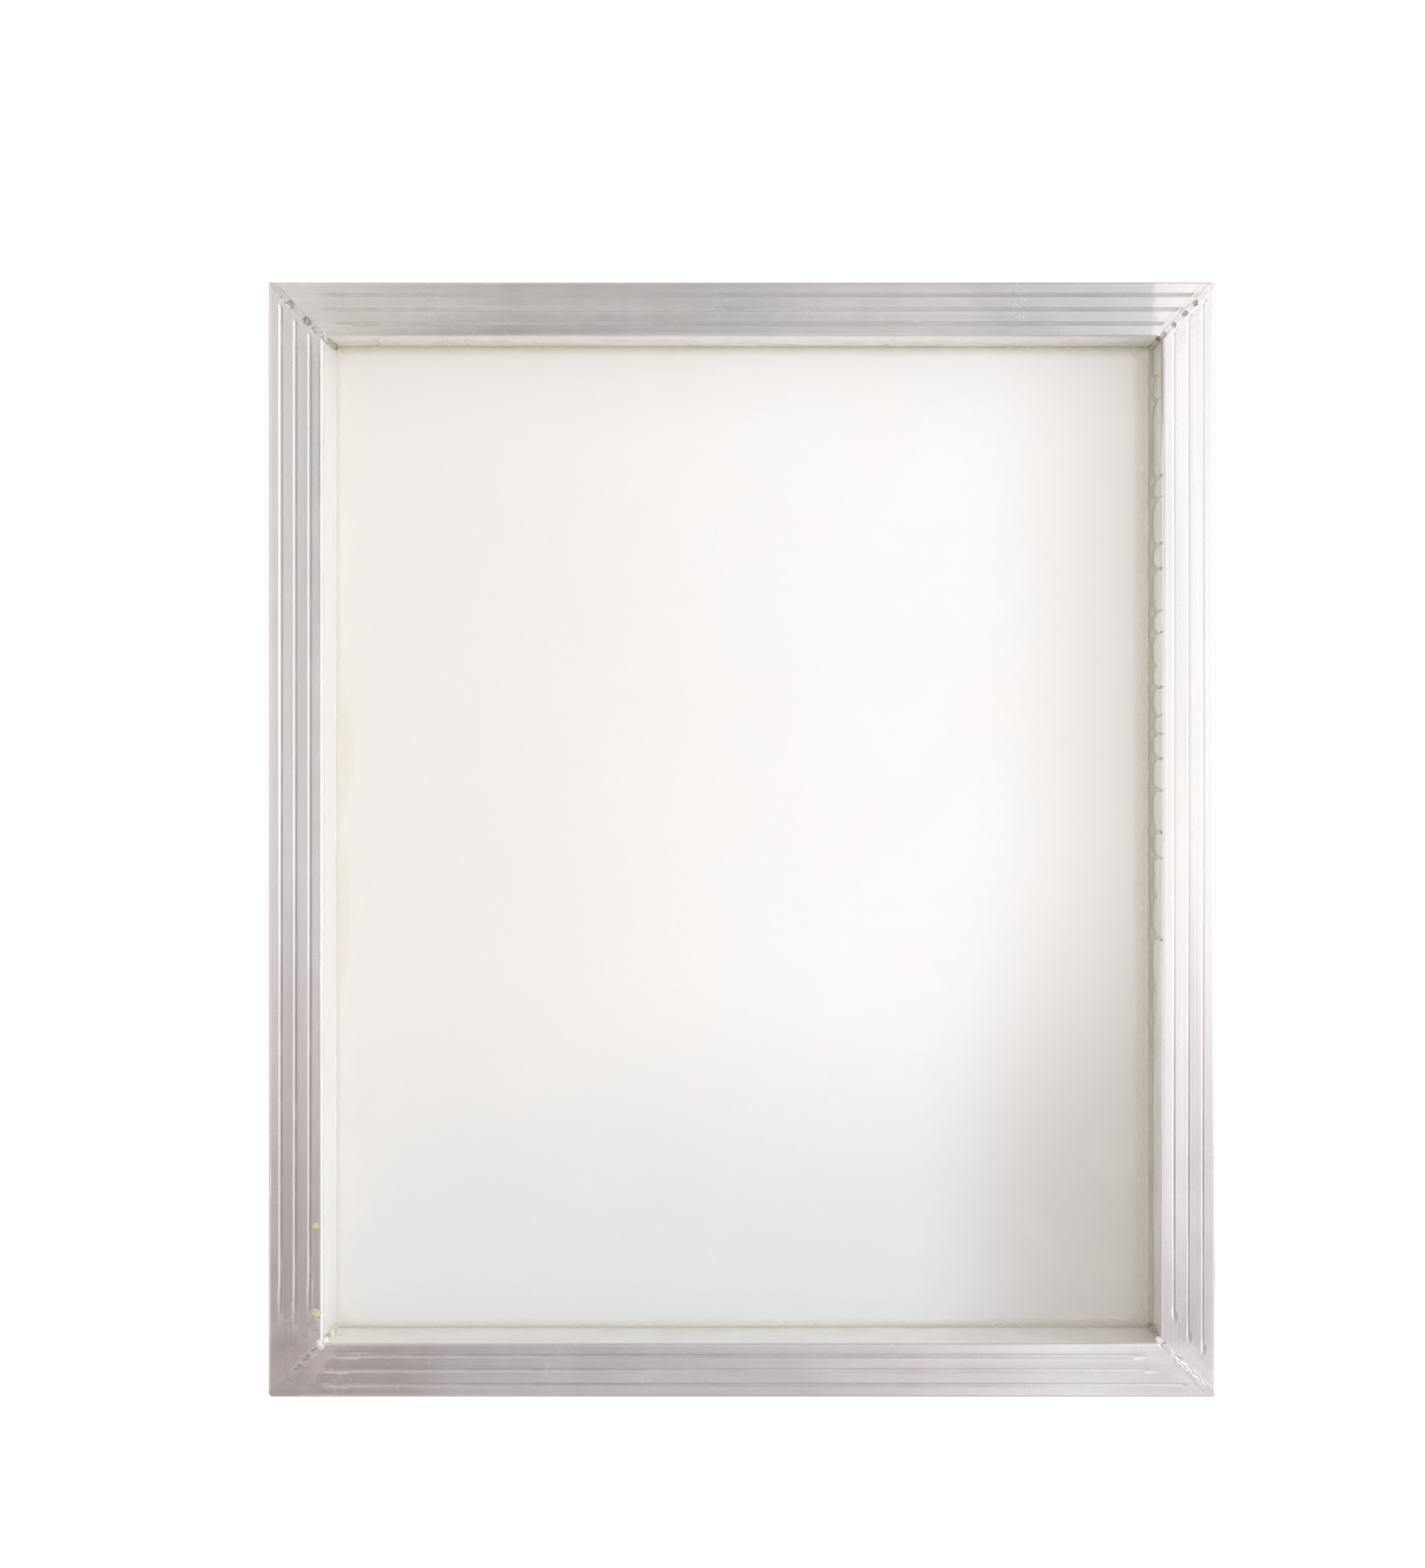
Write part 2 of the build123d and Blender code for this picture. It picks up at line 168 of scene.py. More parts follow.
def closed_slab(top, bottom, nu, nv):
    """A closed solid from a top grid and a bottom grid of nu x nv points."""
    n = nu * nv
    verts = np.vstack([top, bottom])
    faces = grid_faces(nu, nv) + grid_faces(nu, nv, n, flip=True)
    edge = (
        [(i, 0) for i in range(nu)]
        + [(nu - 1, j) for j in range(1, nv)]
        + [(i, nv - 1) for i in range(nu - 2, -1, -1)]
        + [(0, j) for j in range(nv - 2, 0, -1)]
    )
    ids = [i * nv + j for i, j in edge]
    for k in range(len(ids)):
        a, b = ids[k], ids[(k + 1) % len(ids)]
        faces.append((b, a, a + n, b + n))
    return verts, faces


def round_corner(a, b, r):
    """Turns the square outer corner into a round one of radius r. a and b are
    the distances inwards from the two outer faces; both come back changed."""
    a, b = np.asarray(a, float).copy(), np.asarray(b, float).copy()
    x, y = a - r, b - r
    inside = (x < 0) & (y < 0)
    length = np.hypot(x, y)
    k = np.where(inside & (length > 1e-9), np.maximum(-x, -y) / np.maximum(length, 1e-9), 1.0)
    return r + x * k, r + y * k


def edge_drop(u):
    """How far the upper face lies below its plane at distance u from the outer
    face, from the rounded long edges of the extrusion."""
    u = np.asarray(u, float)
    e = np.minimum(u, RAIL_W - u)
    t = np.clip(EDGE_R - e, 0, EDGE_R)
    return EDGE_R - np.sqrt(np.maximum(EDGE_R ** 2 - t ** 2, 0))


def dish(q, seed, a):
    """Hollow left by the grinding disc on either side of a mitre."""
    q = np.abs(q)
    return -0.05 * (1 - smooth(q, 3.0, 16.0)) * (1 + 0.6 * noise2(q * 0.35, a * 0.22, seed))


# ---------------------------------------------------------------------------
# Node helpers
# ---------------------------------------------------------------------------
class Nodes:
    """Short names for building a shader."""

    def __init__(self, tree):
        self.t = tree
        tree.nodes.clear()

    def node(self, kind, **props):
        n = self.t.nodes.new(kind)
        for k, v in props.items():
            setattr(n, k, v)
        return n

    def put(self, socket, value):
        if isinstance(value, bpy.types.NodeSocket):
            self.t.links.new(value, socket)
        elif isinstance(value, (tuple, list)):
            v = list(value)
            if socket.type == "RGBA" and len(v) == 3:
                v = v + [1.0]
            socket.default_value = v
        else:
            socket.default_value = value

    def math(self, op, a, b=None, c=None, clamp=False):
        n = self.node("ShaderNodeMath", operation=op, use_clamp=clamp)
        self.put(n.inputs[0], a)
        if b is not None:
            self.put(n.inputs[1], b)
        if c is not None:
            self.put(n.inputs[2], c)
        return n.outputs[0]

    def add(self, a, b): return self.math("ADD", a, b)
    def sub(self, a, b): return self.math("SUBTRACT", a, b)
    def mul(self, a, b): return self.math("MULTIPLY", a, b)
    def div(self, a, b): return self.math("DIVIDE", a, b)
    def mad(self, a, b, c): return self.math("MULTIPLY_ADD", a, b, c)
    def absv(self, a): return self.math("ABSOLUTE", a)
    def maxv(self, a, b): return self.math("MAXIMUM", a, b)
    def minv(self, a, b): return self.math("MINIMUM", a, b)

    def ramp(self, x, lo, hi, to_lo=0.0, to_hi=1.0, kind="SMOOTHSTEP"):
        n = self.node("ShaderNodeMapRange", interpolation_type=kind)
        n.clamp = True
        self.put(n.inputs["Value"], x)
        self.put(n.inputs["From Min"], lo)
        self.put(n.inputs["From Max"], hi)
        self.put(n.inputs["To Min"], to_lo)
        self.put(n.inputs["To Max"], to_hi)
        return n.outputs["Result"]

    def curve(self, x, points):
        """Piecewise linear function of x through the points."""
        total = points[0][1]
        for (x0, y0), (x1, y1) in zip(points, points[1:]):
            if abs(y1 - y0) > 1e-6:
                total = self.add(self.ramp(x, x0, x1, 0.0, y1 - y0, "LINEAR"), total)
        return total

    def bell(self, x, centre, width):
        """A bump of height 1 at the centre, gone at three widths."""
        d = self.div(self.sub(x, centre), width)
        return self.math("POWER", 2.718282, self.mul(self.mul(d, d), -1.0))

    def mix(self, f, a, b, blend="MIX"):
        n = self.node("ShaderNodeMix", data_type="RGBA", blend_type=blend)
        n.clamp_factor = True
        self.put(n.inputs[0], f)
        self.put(n.inputs[6], a)
        self.put(n.inputs[7], b)
        return n.outputs[2]

    def mixf(self, f, a, b):
        n = self.node("ShaderNodeMix", data_type="FLOAT")
        n.clamp_factor = True
        self.put(n.inputs[0], f)
        self.put(n.inputs[2], a)
        self.put(n.inputs[3], b)
        return n.outputs[0]

    def coords(self):
        """Object coordinates in millimetres: (vector, x, y, z)."""
        tc = self.node("ShaderNodeTexCoord")
        sc = self.node("ShaderNodeVectorMath", operation="SCALE")
        self.put(sc.inputs[0], tc.outputs["Object"])
        sc.inputs["Scale"].default_value = 1000.0
        sep = self.node("ShaderNodeSeparateXYZ")
        self.put(sep.inputs[0], sc.outputs[0])
        return sc.outputs[0], sep.outputs[0], sep.outputs[1], sep.outputs[2]

    def xyz(self, x, y, z=0.0):
        n = self.node("ShaderNodeCombineXYZ")
        self.put(n.inputs[0], x)
        self.put(n.inputs[1], y)
        self.put(n.inputs[2], z)
        return n.outputs[0]

    def noise(self, vector, scale=1.0, detail=2.0, rough=0.5, distortion=0.0):
        n = self.node("ShaderNodeTexNoise", noise_dimensions="3D")
        self.put(n.inputs["Vector"], vector)
        self.put(n.inputs["Scale"], scale)
        self.put(n.inputs["Detail"], detail)
        self.put(n.inputs["Roughness"], rough)
        self.put(n.inputs["Distortion"], distortion)
        return n.outputs["Fac"]

    def voronoi(self, vector, scale=1.0, feature="F1"):
        n = self.node("ShaderNodeTexVoronoi", feature=feature)
        self.put(n.inputs["Vector"], vector)
        self.put(n.inputs["Scale"], scale)
        return n.outputs["Distance"]

    def bump(self, height, strength=0.3, distance=0.1, normal=None):
        n = self.node("ShaderNodeBump")
        self.put(n.inputs["Strength"], strength)
        self.put(n.inputs["Distance"], distance * MM)
        self.put(n.inputs["Height"], height)
        if normal is not None:
            self.put(n.inputs["Normal"], normal)
        return n.outputs["Normal"]

    def attribute(self, name):
        n = self.node("ShaderNodeAttribute")
        n.attribute_name = name
        return n.outputs["Fac"]

    def surface(self, shader):
        out = self.node("ShaderNodeOutputMaterial")
        self.put(out.inputs["Surface"], shader)


def material(name):
    m = bpy.data.materials.new(name)
    m.use_nodes = True
    return m, Nodes(m.node_tree)


# ---------------------------------------------------------------------------
# Materials
# ---------------------------------------------------------------------------
def aluminium(name, along, weld=False):
    """Mill finish extrusion: die lines along the rail, grinding marks beside the
    mitres, smudges, chalky wipes, faint colour casts."""
    m, n = material(name)
    vec, x, y, z = n.coords()
    s, t = (x, y) if along == "X" else (y, x)

    # distances from the outer faces, and along and across the nearest mitre
    a = n.sub(HW, n.absv(x))
    b = n.sub(HL, n.absv(y))
    q = n.mul(n.sub(a, b), 0.70711)
    p = n.mul(n.add(a, b), 0.70711)
    q_abs = n.absv(q)

    fine = n.noise(n.xyz(n.mul(s, 0.012), n.mul(t, 5.5), n.mul(z, 5.5)), 1.0, 3.0, 0.6)
    medium = n.noise(n.xyz(n.mul(s, 0.004), n.mul(t, 1.3), n.mul(z, 1.3)), 1.0, 2.0, 0.6)
    broad = n.noise(n.xyz(n.mul(s, 0.0015), n.mul(t, 0.28), n.mul(z, 0.28)), 1.0, 1.0, 0.5)
    cloud = n.noise(vec, 0.028, 3.0, 0.55, 0.4)
    cloud2 = n.noise(n.xyz(n.add(x, 311.0), n.add(y, 97.0), z), 0.011, 2.0, 0.5)
    grit = n.noise(vec, 3.2, 4.0, 0.7)

    # grinding marks: across the seam near the mitre, with a ragged border
    ragged = n.noise(vec, 0.22, 3.0, 0.6, 0.8)
    reach = n.mad(ragged, 16.0, 1.0)
    ground = n.sub(1.0, n.ramp(n.sub(q_abs, reach), -1.0, 3.0))
    arc = n.mad(n.mul(q, q), 0.02, p)
    swirl = n.noise(n.xyz(n.mul(arc, 4.0), n.mul(q, 0.22), z), 1.0, 3.0, 0.65)
    swirl2 = n.noise(n.xyz(n.mul(n.mad(q, 0.35, p), 7.0), n.mul(q, 0.5), 3.0), 1.0, 2.0, 0.6)
    ground_marks = n.mixf(0.5, swirl, swirl2)

    # long stray scratches, and short wipes across the rail
    scr_v = n.xyz(n.mul(n.mad(t, 0.35, s), 0.05), n.mul(n.mad(s, -0.35, t), 2.6), z)
    scratch = n.ramp(n.noise(scr_v, 1.0, 1.0, 0.4), 0.70, 0.76)
    wipe_v = n.xyz(n.mul(s, 0.11), n.mul(t, 0.06), n.mul(z, 0.1))
    wipe_big = n.ramp(n.noise(wipe_v, 1.0, 2.0, 0.5, 0.6), 0.60, 0.74)
    wipe_fine = n.ramp(n.noise(n.xyz(n.mul(s, 2.2), n.mul(t, 0.25), z), 1.0, 3.0, 0.7), 0.52, 0.72)
    chalk = n.mul(wipe_big, wipe_fine)

    lines = n.mixf(0.35, n.mixf(0.5, fine, medium), broad)
    height = n.mixf(ground, n.mul(lines, 0.8), ground_marks)
    height = n.mad(grit, 0.12, height)
    height = n.sub(height, n.mul(scratch, 0.25))

    hairs = n.noise(n.xyz(n.mul(s, 0.006), n.mul(t, 2.1), n.mul(z, 2.1)), 1.0, 1.0, 0.5)
    tone = n.mad(n.sub(lines, 0.5), 0.26, 1.0)
    tone = n.mad(n.sub(hairs, 0.5), 0.13, tone)
    tone = n.mad(n.sub(cloud, 0.5), 0.10, tone)
    tone = n.mad(n.mul(ground, n.sub(ground_marks, 0.5)), 0.18, tone)
    tone = n.mad(n.sub(grit, 0.5), 0.05, tone)

    # casts: a little mauve towards the front, olive and blue drifting patches
    mauve = n.ramp(n.mad(n.ramp(x, 100.0, 235.0), 130.0, y), 120.0, -160.0)
    base = n.mix(n.mul(mauve, 0.85), (0.925, 0.905, 0.885), (0.925, 0.862, 0.890))
    base = n.mix(n.ramp(cloud2, 0.50, 0.72, 0.0, 0.45), base, (0.875, 0.895, 0.945))
    base = n.mix(n.ramp(cloud, 0.58, 0.75, 0.0, 0.35), base, (0.915, 0.915, 0.845))
    base = n.mix(n.ramp(cloud2, 0.46, 0.30, 0.0, 0.30), base, (0.945, 0.880, 0.910))
    # stretches of the rail handled differently, with fairly abrupt ends
    stretch = n.node("ShaderNodeTexVoronoi", feature="SMOOTH_F1")
    n.put(stretch.inputs["Vector"], n.xyz(n.mul(s, 0.0095), n.mul(t, 0.0005), 0.3 if along == "X" else 7.7))
    n.put(stretch.inputs["Scale"], 1.0)
    n.put(stretch.inputs["Smoothness"], 0.06)
    cell = n.node("ShaderNodeSeparateColor")
    n.put(cell.inputs[0], stretch.outputs["Color"])
    base = n.mix(n.mul(cell.outputs[0], 0.30), base, (0.86, 0.87, 0.90))
    base = n.mix(n.mul(cell.outputs[1], 0.22), base, (0.94, 0.87, 0.89))
    if along == "X" and not weld:
        # painted shade: the back rail darker from x 175 to a ragged border near the right rail, darkening its
        # reflection there
        border = n.mad(n.noise(n.xyz(0.0, n.mul(y, 0.16), 2.0), 1.0, 2.0, 0.5, 1.2), 7.0, x)
        painted_dark_stretch = n.mul(n.mul(n.ramp(x, 80.0, 175.0), n.ramp(border, 227.5, 223.0)), n.ramp(y, 0.0, 1.0))
        base = n.mix(n.mul(painted_dark_stretch, 0.62), base, (0.60, 0.60, 0.64))
    # tarnished where it is handled most: the front left corner, and the inside
    # of the right rail's front end
    held = n.mul(n.ramp(x, -224.0, -240.0), n.ramp(y, -262.0, -273.0))
    base = n.mix(n.mul(held, n.mad(ground, 0.24, 0.24)), base, (0.44, 0.40, 0.38))
    held = n.mul(n.mul(n.ramp(x, 262.0, 236.0), n.ramp(y, -276.0, -266.0)), n.mul(n.ramp(y, -200.0, -245.0), n.ramp(x, 222.0, 226.0)))
    base = n.mix(n.mul(held, 0.32), base, (0.50, 0.48, 0.49))
    # warmer at the back left, and a painted reflection: a lighter band along the front rail towards its right end
    base = n.mix(n.mul(n.mul(n.ramp(x, -110.0, -205.0), n.ramp(y, 200.0, 262.0)), n.ramp(x, -228.0, -214.0, 0.15, 0.5)), base, (0.875, 0.845, 0.765))
    base = n.mix(n.mul(n.mul(n.bell(x, 180.0, 30.0), n.ramp(y, -252.0, -270.0)), 0.6), base, (0.975, 0.975, 1.0))
    # a faint pink brown cast over the front left, where it has been gripped
    tint = n.node("ShaderNodeVectorMath", operation="MULTIPLY")
    n.put(tint.inputs[0], base)
    if along == "X":
        cast = n.mul(n.ramp(x, -148.0, -188.0), n.ramp(y, -271.2, -272.4))
        n.put(tint.inputs[1], n.mix(cast, (1.0, 1.0, 1.0), (0.975, 0.92, 0.895)))
    else:
        cast = n.mul(n.ramp(y, -50.0, -125.0), n.ramp(x, -226.2, -227.4))
        n.put(tint.inputs[1], n.mix(cast, (1.0, 1.0, 1.0), (1.05, 0.985, 0.97)))
    base = tint.outputs[0]
    if weld:
        base = n.mix(0.25, base, (0.70, 0.68, 0.66))
    scaled = n.node("ShaderNodeVectorMath", operation="SCALE")
    n.put(scaled.inputs[0], base)
    n.put(scaled.inputs["Scale"], tone)
    base = scaled.outputs[0]
    base = n.mix(n.mul(chalk, 0.55), base, (0.95, 0.94, 0.94))
    # specks of dried cleaner, in short strings across the back rail
    if along == "X":
        speck_n = n.ramp(n.noise(n.xyz(n.mul(x, 1.5), n.mul(y, 0.55), 0.0), 1.0, 2.0, 0.6), 0.58, 0.66)
        where = n.bell(x, -13.4, 2.2)
        for at, wide in ((-9.5, 1.6), (14.5, 1.8), (21.5, 2.4), (35.0, 5.0), (148.0, 4.5), (152.0, 2.0), (-168.0, 4.0)):
            where = n.maxv(where, n.bell(x, at, wide))
        speck = n.mul(n.mul(speck_n, where), n.ramp(y, 279.0, 282.0))
        base = n.mix(n.mul(speck, 0.8), base, (0.97, 0.97, 0.97))
        chalk = n.maxv(chalk, n.mul(speck, 0.7))

    # dark marks: dirt in the seam pits, and painted shade in the grooves and along the inner edges
    dirt_and_shade = n.attribute("dirt_and_shade")
    base = n.mix(n.mul(dirt_and_shade, 0.85), base, (0.30, 0.27, 0.24))
    # dried residue over the inner walls, and a painted highlight along the right rail's rounded inner edge
    haze = n.attribute("haze")
    if along == "X":
        where = n.ramp(y, -264.0, -268.0)
        residue = n.mix(where, (0.975, 0.958, 0.922), n.mix(n.ramp(x, -120.0, 60.0), (0.975, 0.972, 0.900), (0.99, 0.995, 0.945)))
    else:
        where = n.mul(n.ramp(x, 200.0, 215.0), n.ramp(y, 150.0, 235.0))
        residue = n.mix(where, (0.975, 0.958, 0.922), (0.945, 0.91, 0.80))
    base = n.mix(n.mul(haze, 0.85), base, residue)

    rough = n.mad(n.sub(fine, 0.5), 0.12, 0.235)
    rough = n.mad(n.sub(cloud, 0.5), 0.12, rough)
    rough = n.mad(ground, 0.07, rough)
    rough = n.mad(chalk, 0.22, rough)
    rough = n.mad(dirt_and_shade, 0.25, rough)
    rough = n.mad(haze, 0.18, rough)

    bs = n.node("ShaderNodeBsdfPrincipled")
    n.put(bs.inputs["Base Color"], base)
    n.put(bs.inputs["Metallic"], n.mad(haze, -0.60, n.mad(dirt_and_shade, -0.5, 0.97)))
    n.put(bs.inputs["Roughness"], rough)
    n.put(bs.inputs["Anisotropic"], n.mad(ground, -0.45, 0.62))
    n.put(bs.inputs["Anisotropic Rotation"], 0.25)
    n.put(bs.inputs["Tangent"], (1.0, 0.0, 0.0) if along == "X" else (0.0, 1.0, 0.0))
    n.put(bs.inputs["Normal"], n.bump(height, 0.5, 0.014))
    n.surface(bs.outputs[0])
    return m


def weld_metal(name):
    """Weld bead left as it froze: ripples, soot, a little heat colour."""
    m, n = material(name)
    vec, x, y, z = n.coords()
    grit = n.noise(vec, 2.4, 5.0, 0.7)
    patch = n.noise(vec, 0.45, 3.0, 0.6, 0.5)
    soot = n.attribute("dirt_and_shade")
    base = n.mix(n.ramp(patch, 0.35, 0.7), (0.76, 0.73, 0.67), (0.60, 0.55, 0.43))
    base = n.mix(n.ramp(grit, 0.55, 0.75, 0.0, 0.5), base, (0.42, 0.38, 0.33))
    base = n.mix(n.mul(soot, 0.9), base, (0.16, 0.13, 0.11))
    # adhesive caught on the bead, and on the front left bead a painted highlight
    glue_and_highlight = n.attribute("haze")
    base = n.mix(n.mul(glue_and_highlight, 0.95), base, (0.985, 0.970, 0.900))
    bs = n.node("ShaderNodeBsdfPrincipled")
    n.put(bs.inputs["Base Color"], base)
    n.put(bs.inputs["Metallic"], n.mad(glue_and_highlight, -0.9, n.mad(soot, -0.5, 0.95)))
    n.put(bs.inputs["Roughness"], n.mad(grit, 0.25, 0.26))
    n.put(bs.inputs["Normal"], n.bump(grit, 0.5, 0.08))
    n.surface(bs.outputs[0])
    return m


def mesh_cloth(name):
    """Plain woven monofilament polyester, 43 threads to the centimetre. Close
    to, the threads and openings are drawn one by one; from further away the
    same cloth is averaged so that it doesn't shimmer."""
    m, n = material(name)
    vec, x, y, z = n.coords()
    pitch, half = 0.2326, 0.042
    # threads aren't spaced perfectly
    wander = n.noise(n.xyz(n.mul(x, 0.02), n.mul(y, 0.02), 0.0), 1.0, 1.0, 0.5)
    gx = n.mad(wander, 0.8, n.div(x, pitch))
    gy = n.mad(wander, -0.6, n.div(y, pitch))
    fx, fy = n.math("FRACT", gx), n.math("FRACT", gy)
    dx = n.mul(n.absv(n.sub(fx, 0.5)), pitch)
    dy = n.mul(n.absv(n.sub(fy, 0.5)), pitch)
    warp = n.ramp(dx, half + 0.004, half - 0.004, kind="LINEAR")
    weft = n.ramp(dy, half + 0.004, half - 0.004, kind="LINEAR")
    cover = n.maxv(warp, weft)
    # round threads, passing over and under
    cross = n.mul(n.math("COSINE", n.mul(gx, math.pi)), n.math("COSINE", n.mul(gy, math.pi)))
    hx = n.mad(n.math("SQRT", n.maxv(n.sub(1.0, n.math("POWER", n.div(dx, half), 2.0)), 0.0)), 1.0, n.mul(cross, 0.9))
    hy = n.mad(n.math("SQRT", n.maxv(n.sub(1.0, n.math("POWER", n.div(dy, half), 2.0)), 0.0)), 1.0, n.mul(cross, -0.9))
    relief = n.maxv(n.mul(hx, warp), n.mul(hy, weft))
    cam = n.node("ShaderNodeCameraData")
    near = n.ramp(cam.outputs["View Distance"], 0.42, 0.16)

    # thread to thread variation that reads at arm's length, and soft haze
    # threads drift in and out of tone along their length
    v1 = n.noise(n.xyz(n.mul(x, 1.9), n.mul(y, 0.05), 0.0), 1.0, 2.0, 0.6)
    v2 = n.noise(n.xyz(n.mul(x, 0.05), n.mul(y, 1.9), 5.0), 1.0, 2.0, 0.6)
    haze = n.noise(n.xyz(x, y, 0.0), 0.012, 2.0, 0.5, 0.5)
    haze2 = n.noise(n.xyz(n.add(x, 500.0), y, 0.0), 0.02, 2.0, 0.5)
    tone = n.mad(n.sub(v1, 0.5), 0.030, 1.0)
    tone = n.mad(n.sub(v2, 0.5), 0.030, tone)
    tone = n.mad(n.sub(haze, 0.5), 0.030, tone)

    white = n.mix(n.ramp(haze, 0.35, 0.65), (0.945, 0.935, 0.930), (0.935, 0.932, 0.935))
    # painted shade: darker and warmer towards the left, darker and greyer towards the front,
    # and darker along the back and right margins and in the front right corner, beside the rails
    white = n.mix(n.ramp(x, 100.0, -200.0, 0.0, 0.85), white, (0.85, 0.82, 0.78))
    white = n.mix(n.mul(n.ramp(y, -60.0, -240.0, 0.0, 0.85), n.ramp(x, -225.0, -150.0, 0.7, 1.0)), white, (0.76, 0.765, 0.77))
    # painted shadow over the front right corner of the cloth
    corner = n.mul(n.ramp(x, 85.0, 235.0), n.ramp(y, 10.0, -240.0))
    white = n.mix(n.mul(corner, 0.93), white, (0.41, 0.355, 0.335))
    # painted shade along the back margin
    white = n.mix(n.ramp(y, 205.0, 272.0, 0.0, 0.30), white, (0.80, 0.775, 0.745))
    # painted shadow along the right margin, beside the right rail
    side = n.ramp(x, 120.0, 226.0, 0.0, 0.55)
    white = n.mix(side, white, (0.72, 0.68, 0.62))
    white = n.mix(n.ramp(haze2, 0.5, 0.75, 0.0, 0.10), white, (0.92, 0.86, 0.84))
    # adhesive soaked into the margin
    soak = n.attribute("soak")
    white = n.mix(n.mul(soak, 0.45), white, (0.90, 0.87, 0.76))
    scaled = n.node("ShaderNodeVectorMath", operation="SCALE")
    n.put(scaled.inputs[0], white)
    n.put(scaled.inputs["Scale"], tone)
    white = scaled.outputs[0]

    bump = n.node("ShaderNodeBump")
    n.put(bump.inputs["Strength"], n.mul(near, 0.9))
    bump.inputs["Distance"].default_value = 0.04 * MM
    n.put(bump.inputs["Height"], relief)

    bs = n.node("ShaderNodeBsdfPrincipled")
    n.put(bs.inputs["Base Color"], white)
    n.put(bs.inputs["Roughness"], n.mad(soak, -0.2, 0.48))
    n.put(bs.inputs["Specular IOR Level"], 0.45)
    n.put(bs.inputs["Sheen Weight"], 0.08)
    n.put(bs.inputs["Normal"], bump.outputs[0])
    tl = n.node("ShaderNodeBsdfTranslucent")
    n.put(tl.inputs["Color"], white)
    body = n.node("ShaderNodeMixShader")
    body.inputs[0].default_value = 0.22
    n.put(body.inputs[1], bs.outputs[0])
    n.put(body.inputs[2], tl.outputs[0])
    clear = n.node("ShaderNodeBsdfTransparent")
    far_cover = n.mad(soak, 0.15, 0.60)
    # seen at a slant the threads close up
    geo = n.node("ShaderNodeNewGeometry")
    dot = n.node("ShaderNodeVectorMath", operation="DOT_PRODUCT")
    n.put(dot.inputs[0], geo.outputs["Incoming"])
    n.put(dot.inputs[1], geo.outputs["Normal"])
    slant = n.math("POWER", n.sub(1.0, n.absv(dot.outputs["Value"])), 2.0)
    far_cover = n.math("MINIMUM", n.mad(slant, 0.4, far_cover), 1.0)
    cover_used = n.mixf(near, far_cover, cover)
    cover_used = n.maxv(cover_used, n.ramp(soak, 0.6, 1.0, 0.0, 0.85))
    mix = n.node("ShaderNodeMixShader")
    n.put(mix.inputs[0], cover_used)
    n.put(mix.inputs[1], clear.outputs[0])
    n.put(mix.inputs[2], body.outputs[0])
    n.surface(mix.outputs[0])
    return m


def glue(name, thin=False, tint=None):
    """Cured adhesive: nearly clear where thin, amber where thick, grey-brown
    where dust has stuck to it and where shade is painted on. Attributes: 'thick' in millimetres, 'dirt'."""
    m, n = material(name)
    vec, x, y, z = n.coords()
    thick = n.attribute("thick")
    dirt_and_shade = n.attribute("dirt_and_shade")
    pale = n.attribute("pale")
    cloud = n.noise(vec, 0.35, 3.0, 0.6, 0.4)
    fine = n.noise(vec, 2.6, 4.0, 0.65)
    bubble = n.ramp(n.voronoi(vec, 1.6), 0.10, 0.16, 1.0, 0.0)
    deep = n.ramp(n.mad(n.sub(cloud, 0.5), 0.5, thick), 0.05, 1.1)
    col = n.mix(deep, (0.955, 0.940, 0.890), (0.86, 0.81, 0.69))
    col = n.mix(n.ramp(cloud, 0.5, 0.72, 0.0, 0.4), col, (0.89, 0.87, 0.79))
    col = n.mix(n.mul(pale, 0.95), col, (0.995, 0.983, 0.948))
    if tint:
        col = n.mix(n.mad(pale, -0.88, 0.9), col, tint)
    col = n.mix(n.mul(dirt_and_shade, 0.9), col, (0.27, 0.235, 0.17))
    col = n.mix(n.mul(bubble, 0.15), col, (0.97, 0.96, 0.90))
    bs = n.node("ShaderNodeBsdfPrincipled")
    n.put(bs.inputs["Base Color"], col)
    n.put(bs.inputs["Roughness"], n.mad(fine, 0.22, 0.22))
    n.put(bs.inputs["IOR"], 1.49)
    n.put(bs.inputs["Subsurface Weight"], 0.25)
    n.put(bs.inputs["Subsurface Radius"], (1.0, 0.8, 0.45))
    n.put(bs.inputs["Subsurface Scale"], 0.8 * MM)
    n.put(bs.inputs["Coat Weight"], 0.25)
    n.put(bs.inputs["Coat Roughness"], 0.15)
    n.put(bs.inputs["Normal"], n.bump(n.mad(bubble, 0.35, n.mixf(0.5, cloud, fine)), 0.4, 0.12))
    clear = n.node("ShaderNodeBsdfTransparent")
    n.put(clear.inputs["Color"], n.mix(n.mul(pale, 0.9), n.mix(deep, (0.985, 0.975, 0.94), (0.92, 0.88, 0.76)), (0.996, 0.995, 0.980)))
    mix = n.node("ShaderNodeMixShader")
    if thin:
        opacity = n.curve(thick, [(0.04, 0.0), (0.12, 0.22), (0.30, 0.58), (0.6, 0.8)])
        opacity = n.mul(opacity, n.mad(pale, -0.85, 1.0))
    else:
        opacity = n.curve(thick, [(0.0, 0.10), (0.15, 0.45), (0.6, 0.85)])
        opacity = n.maxv(opacity, n.mul(n.ramp(pale, 0.5, 1.0), n.ramp(thick, 0.0, 0.12, 0.0, 0.94)))
    n.put(mix.inputs[0], n.maxv(opacity, n.mul(dirt_and_shade, 0.95)))
    n.put(mix.inputs[1], clear.outputs[0])
    n.put(mix.inputs[2], bs.outputs[0])
    n.surface(mix.outputs[0])
    return m


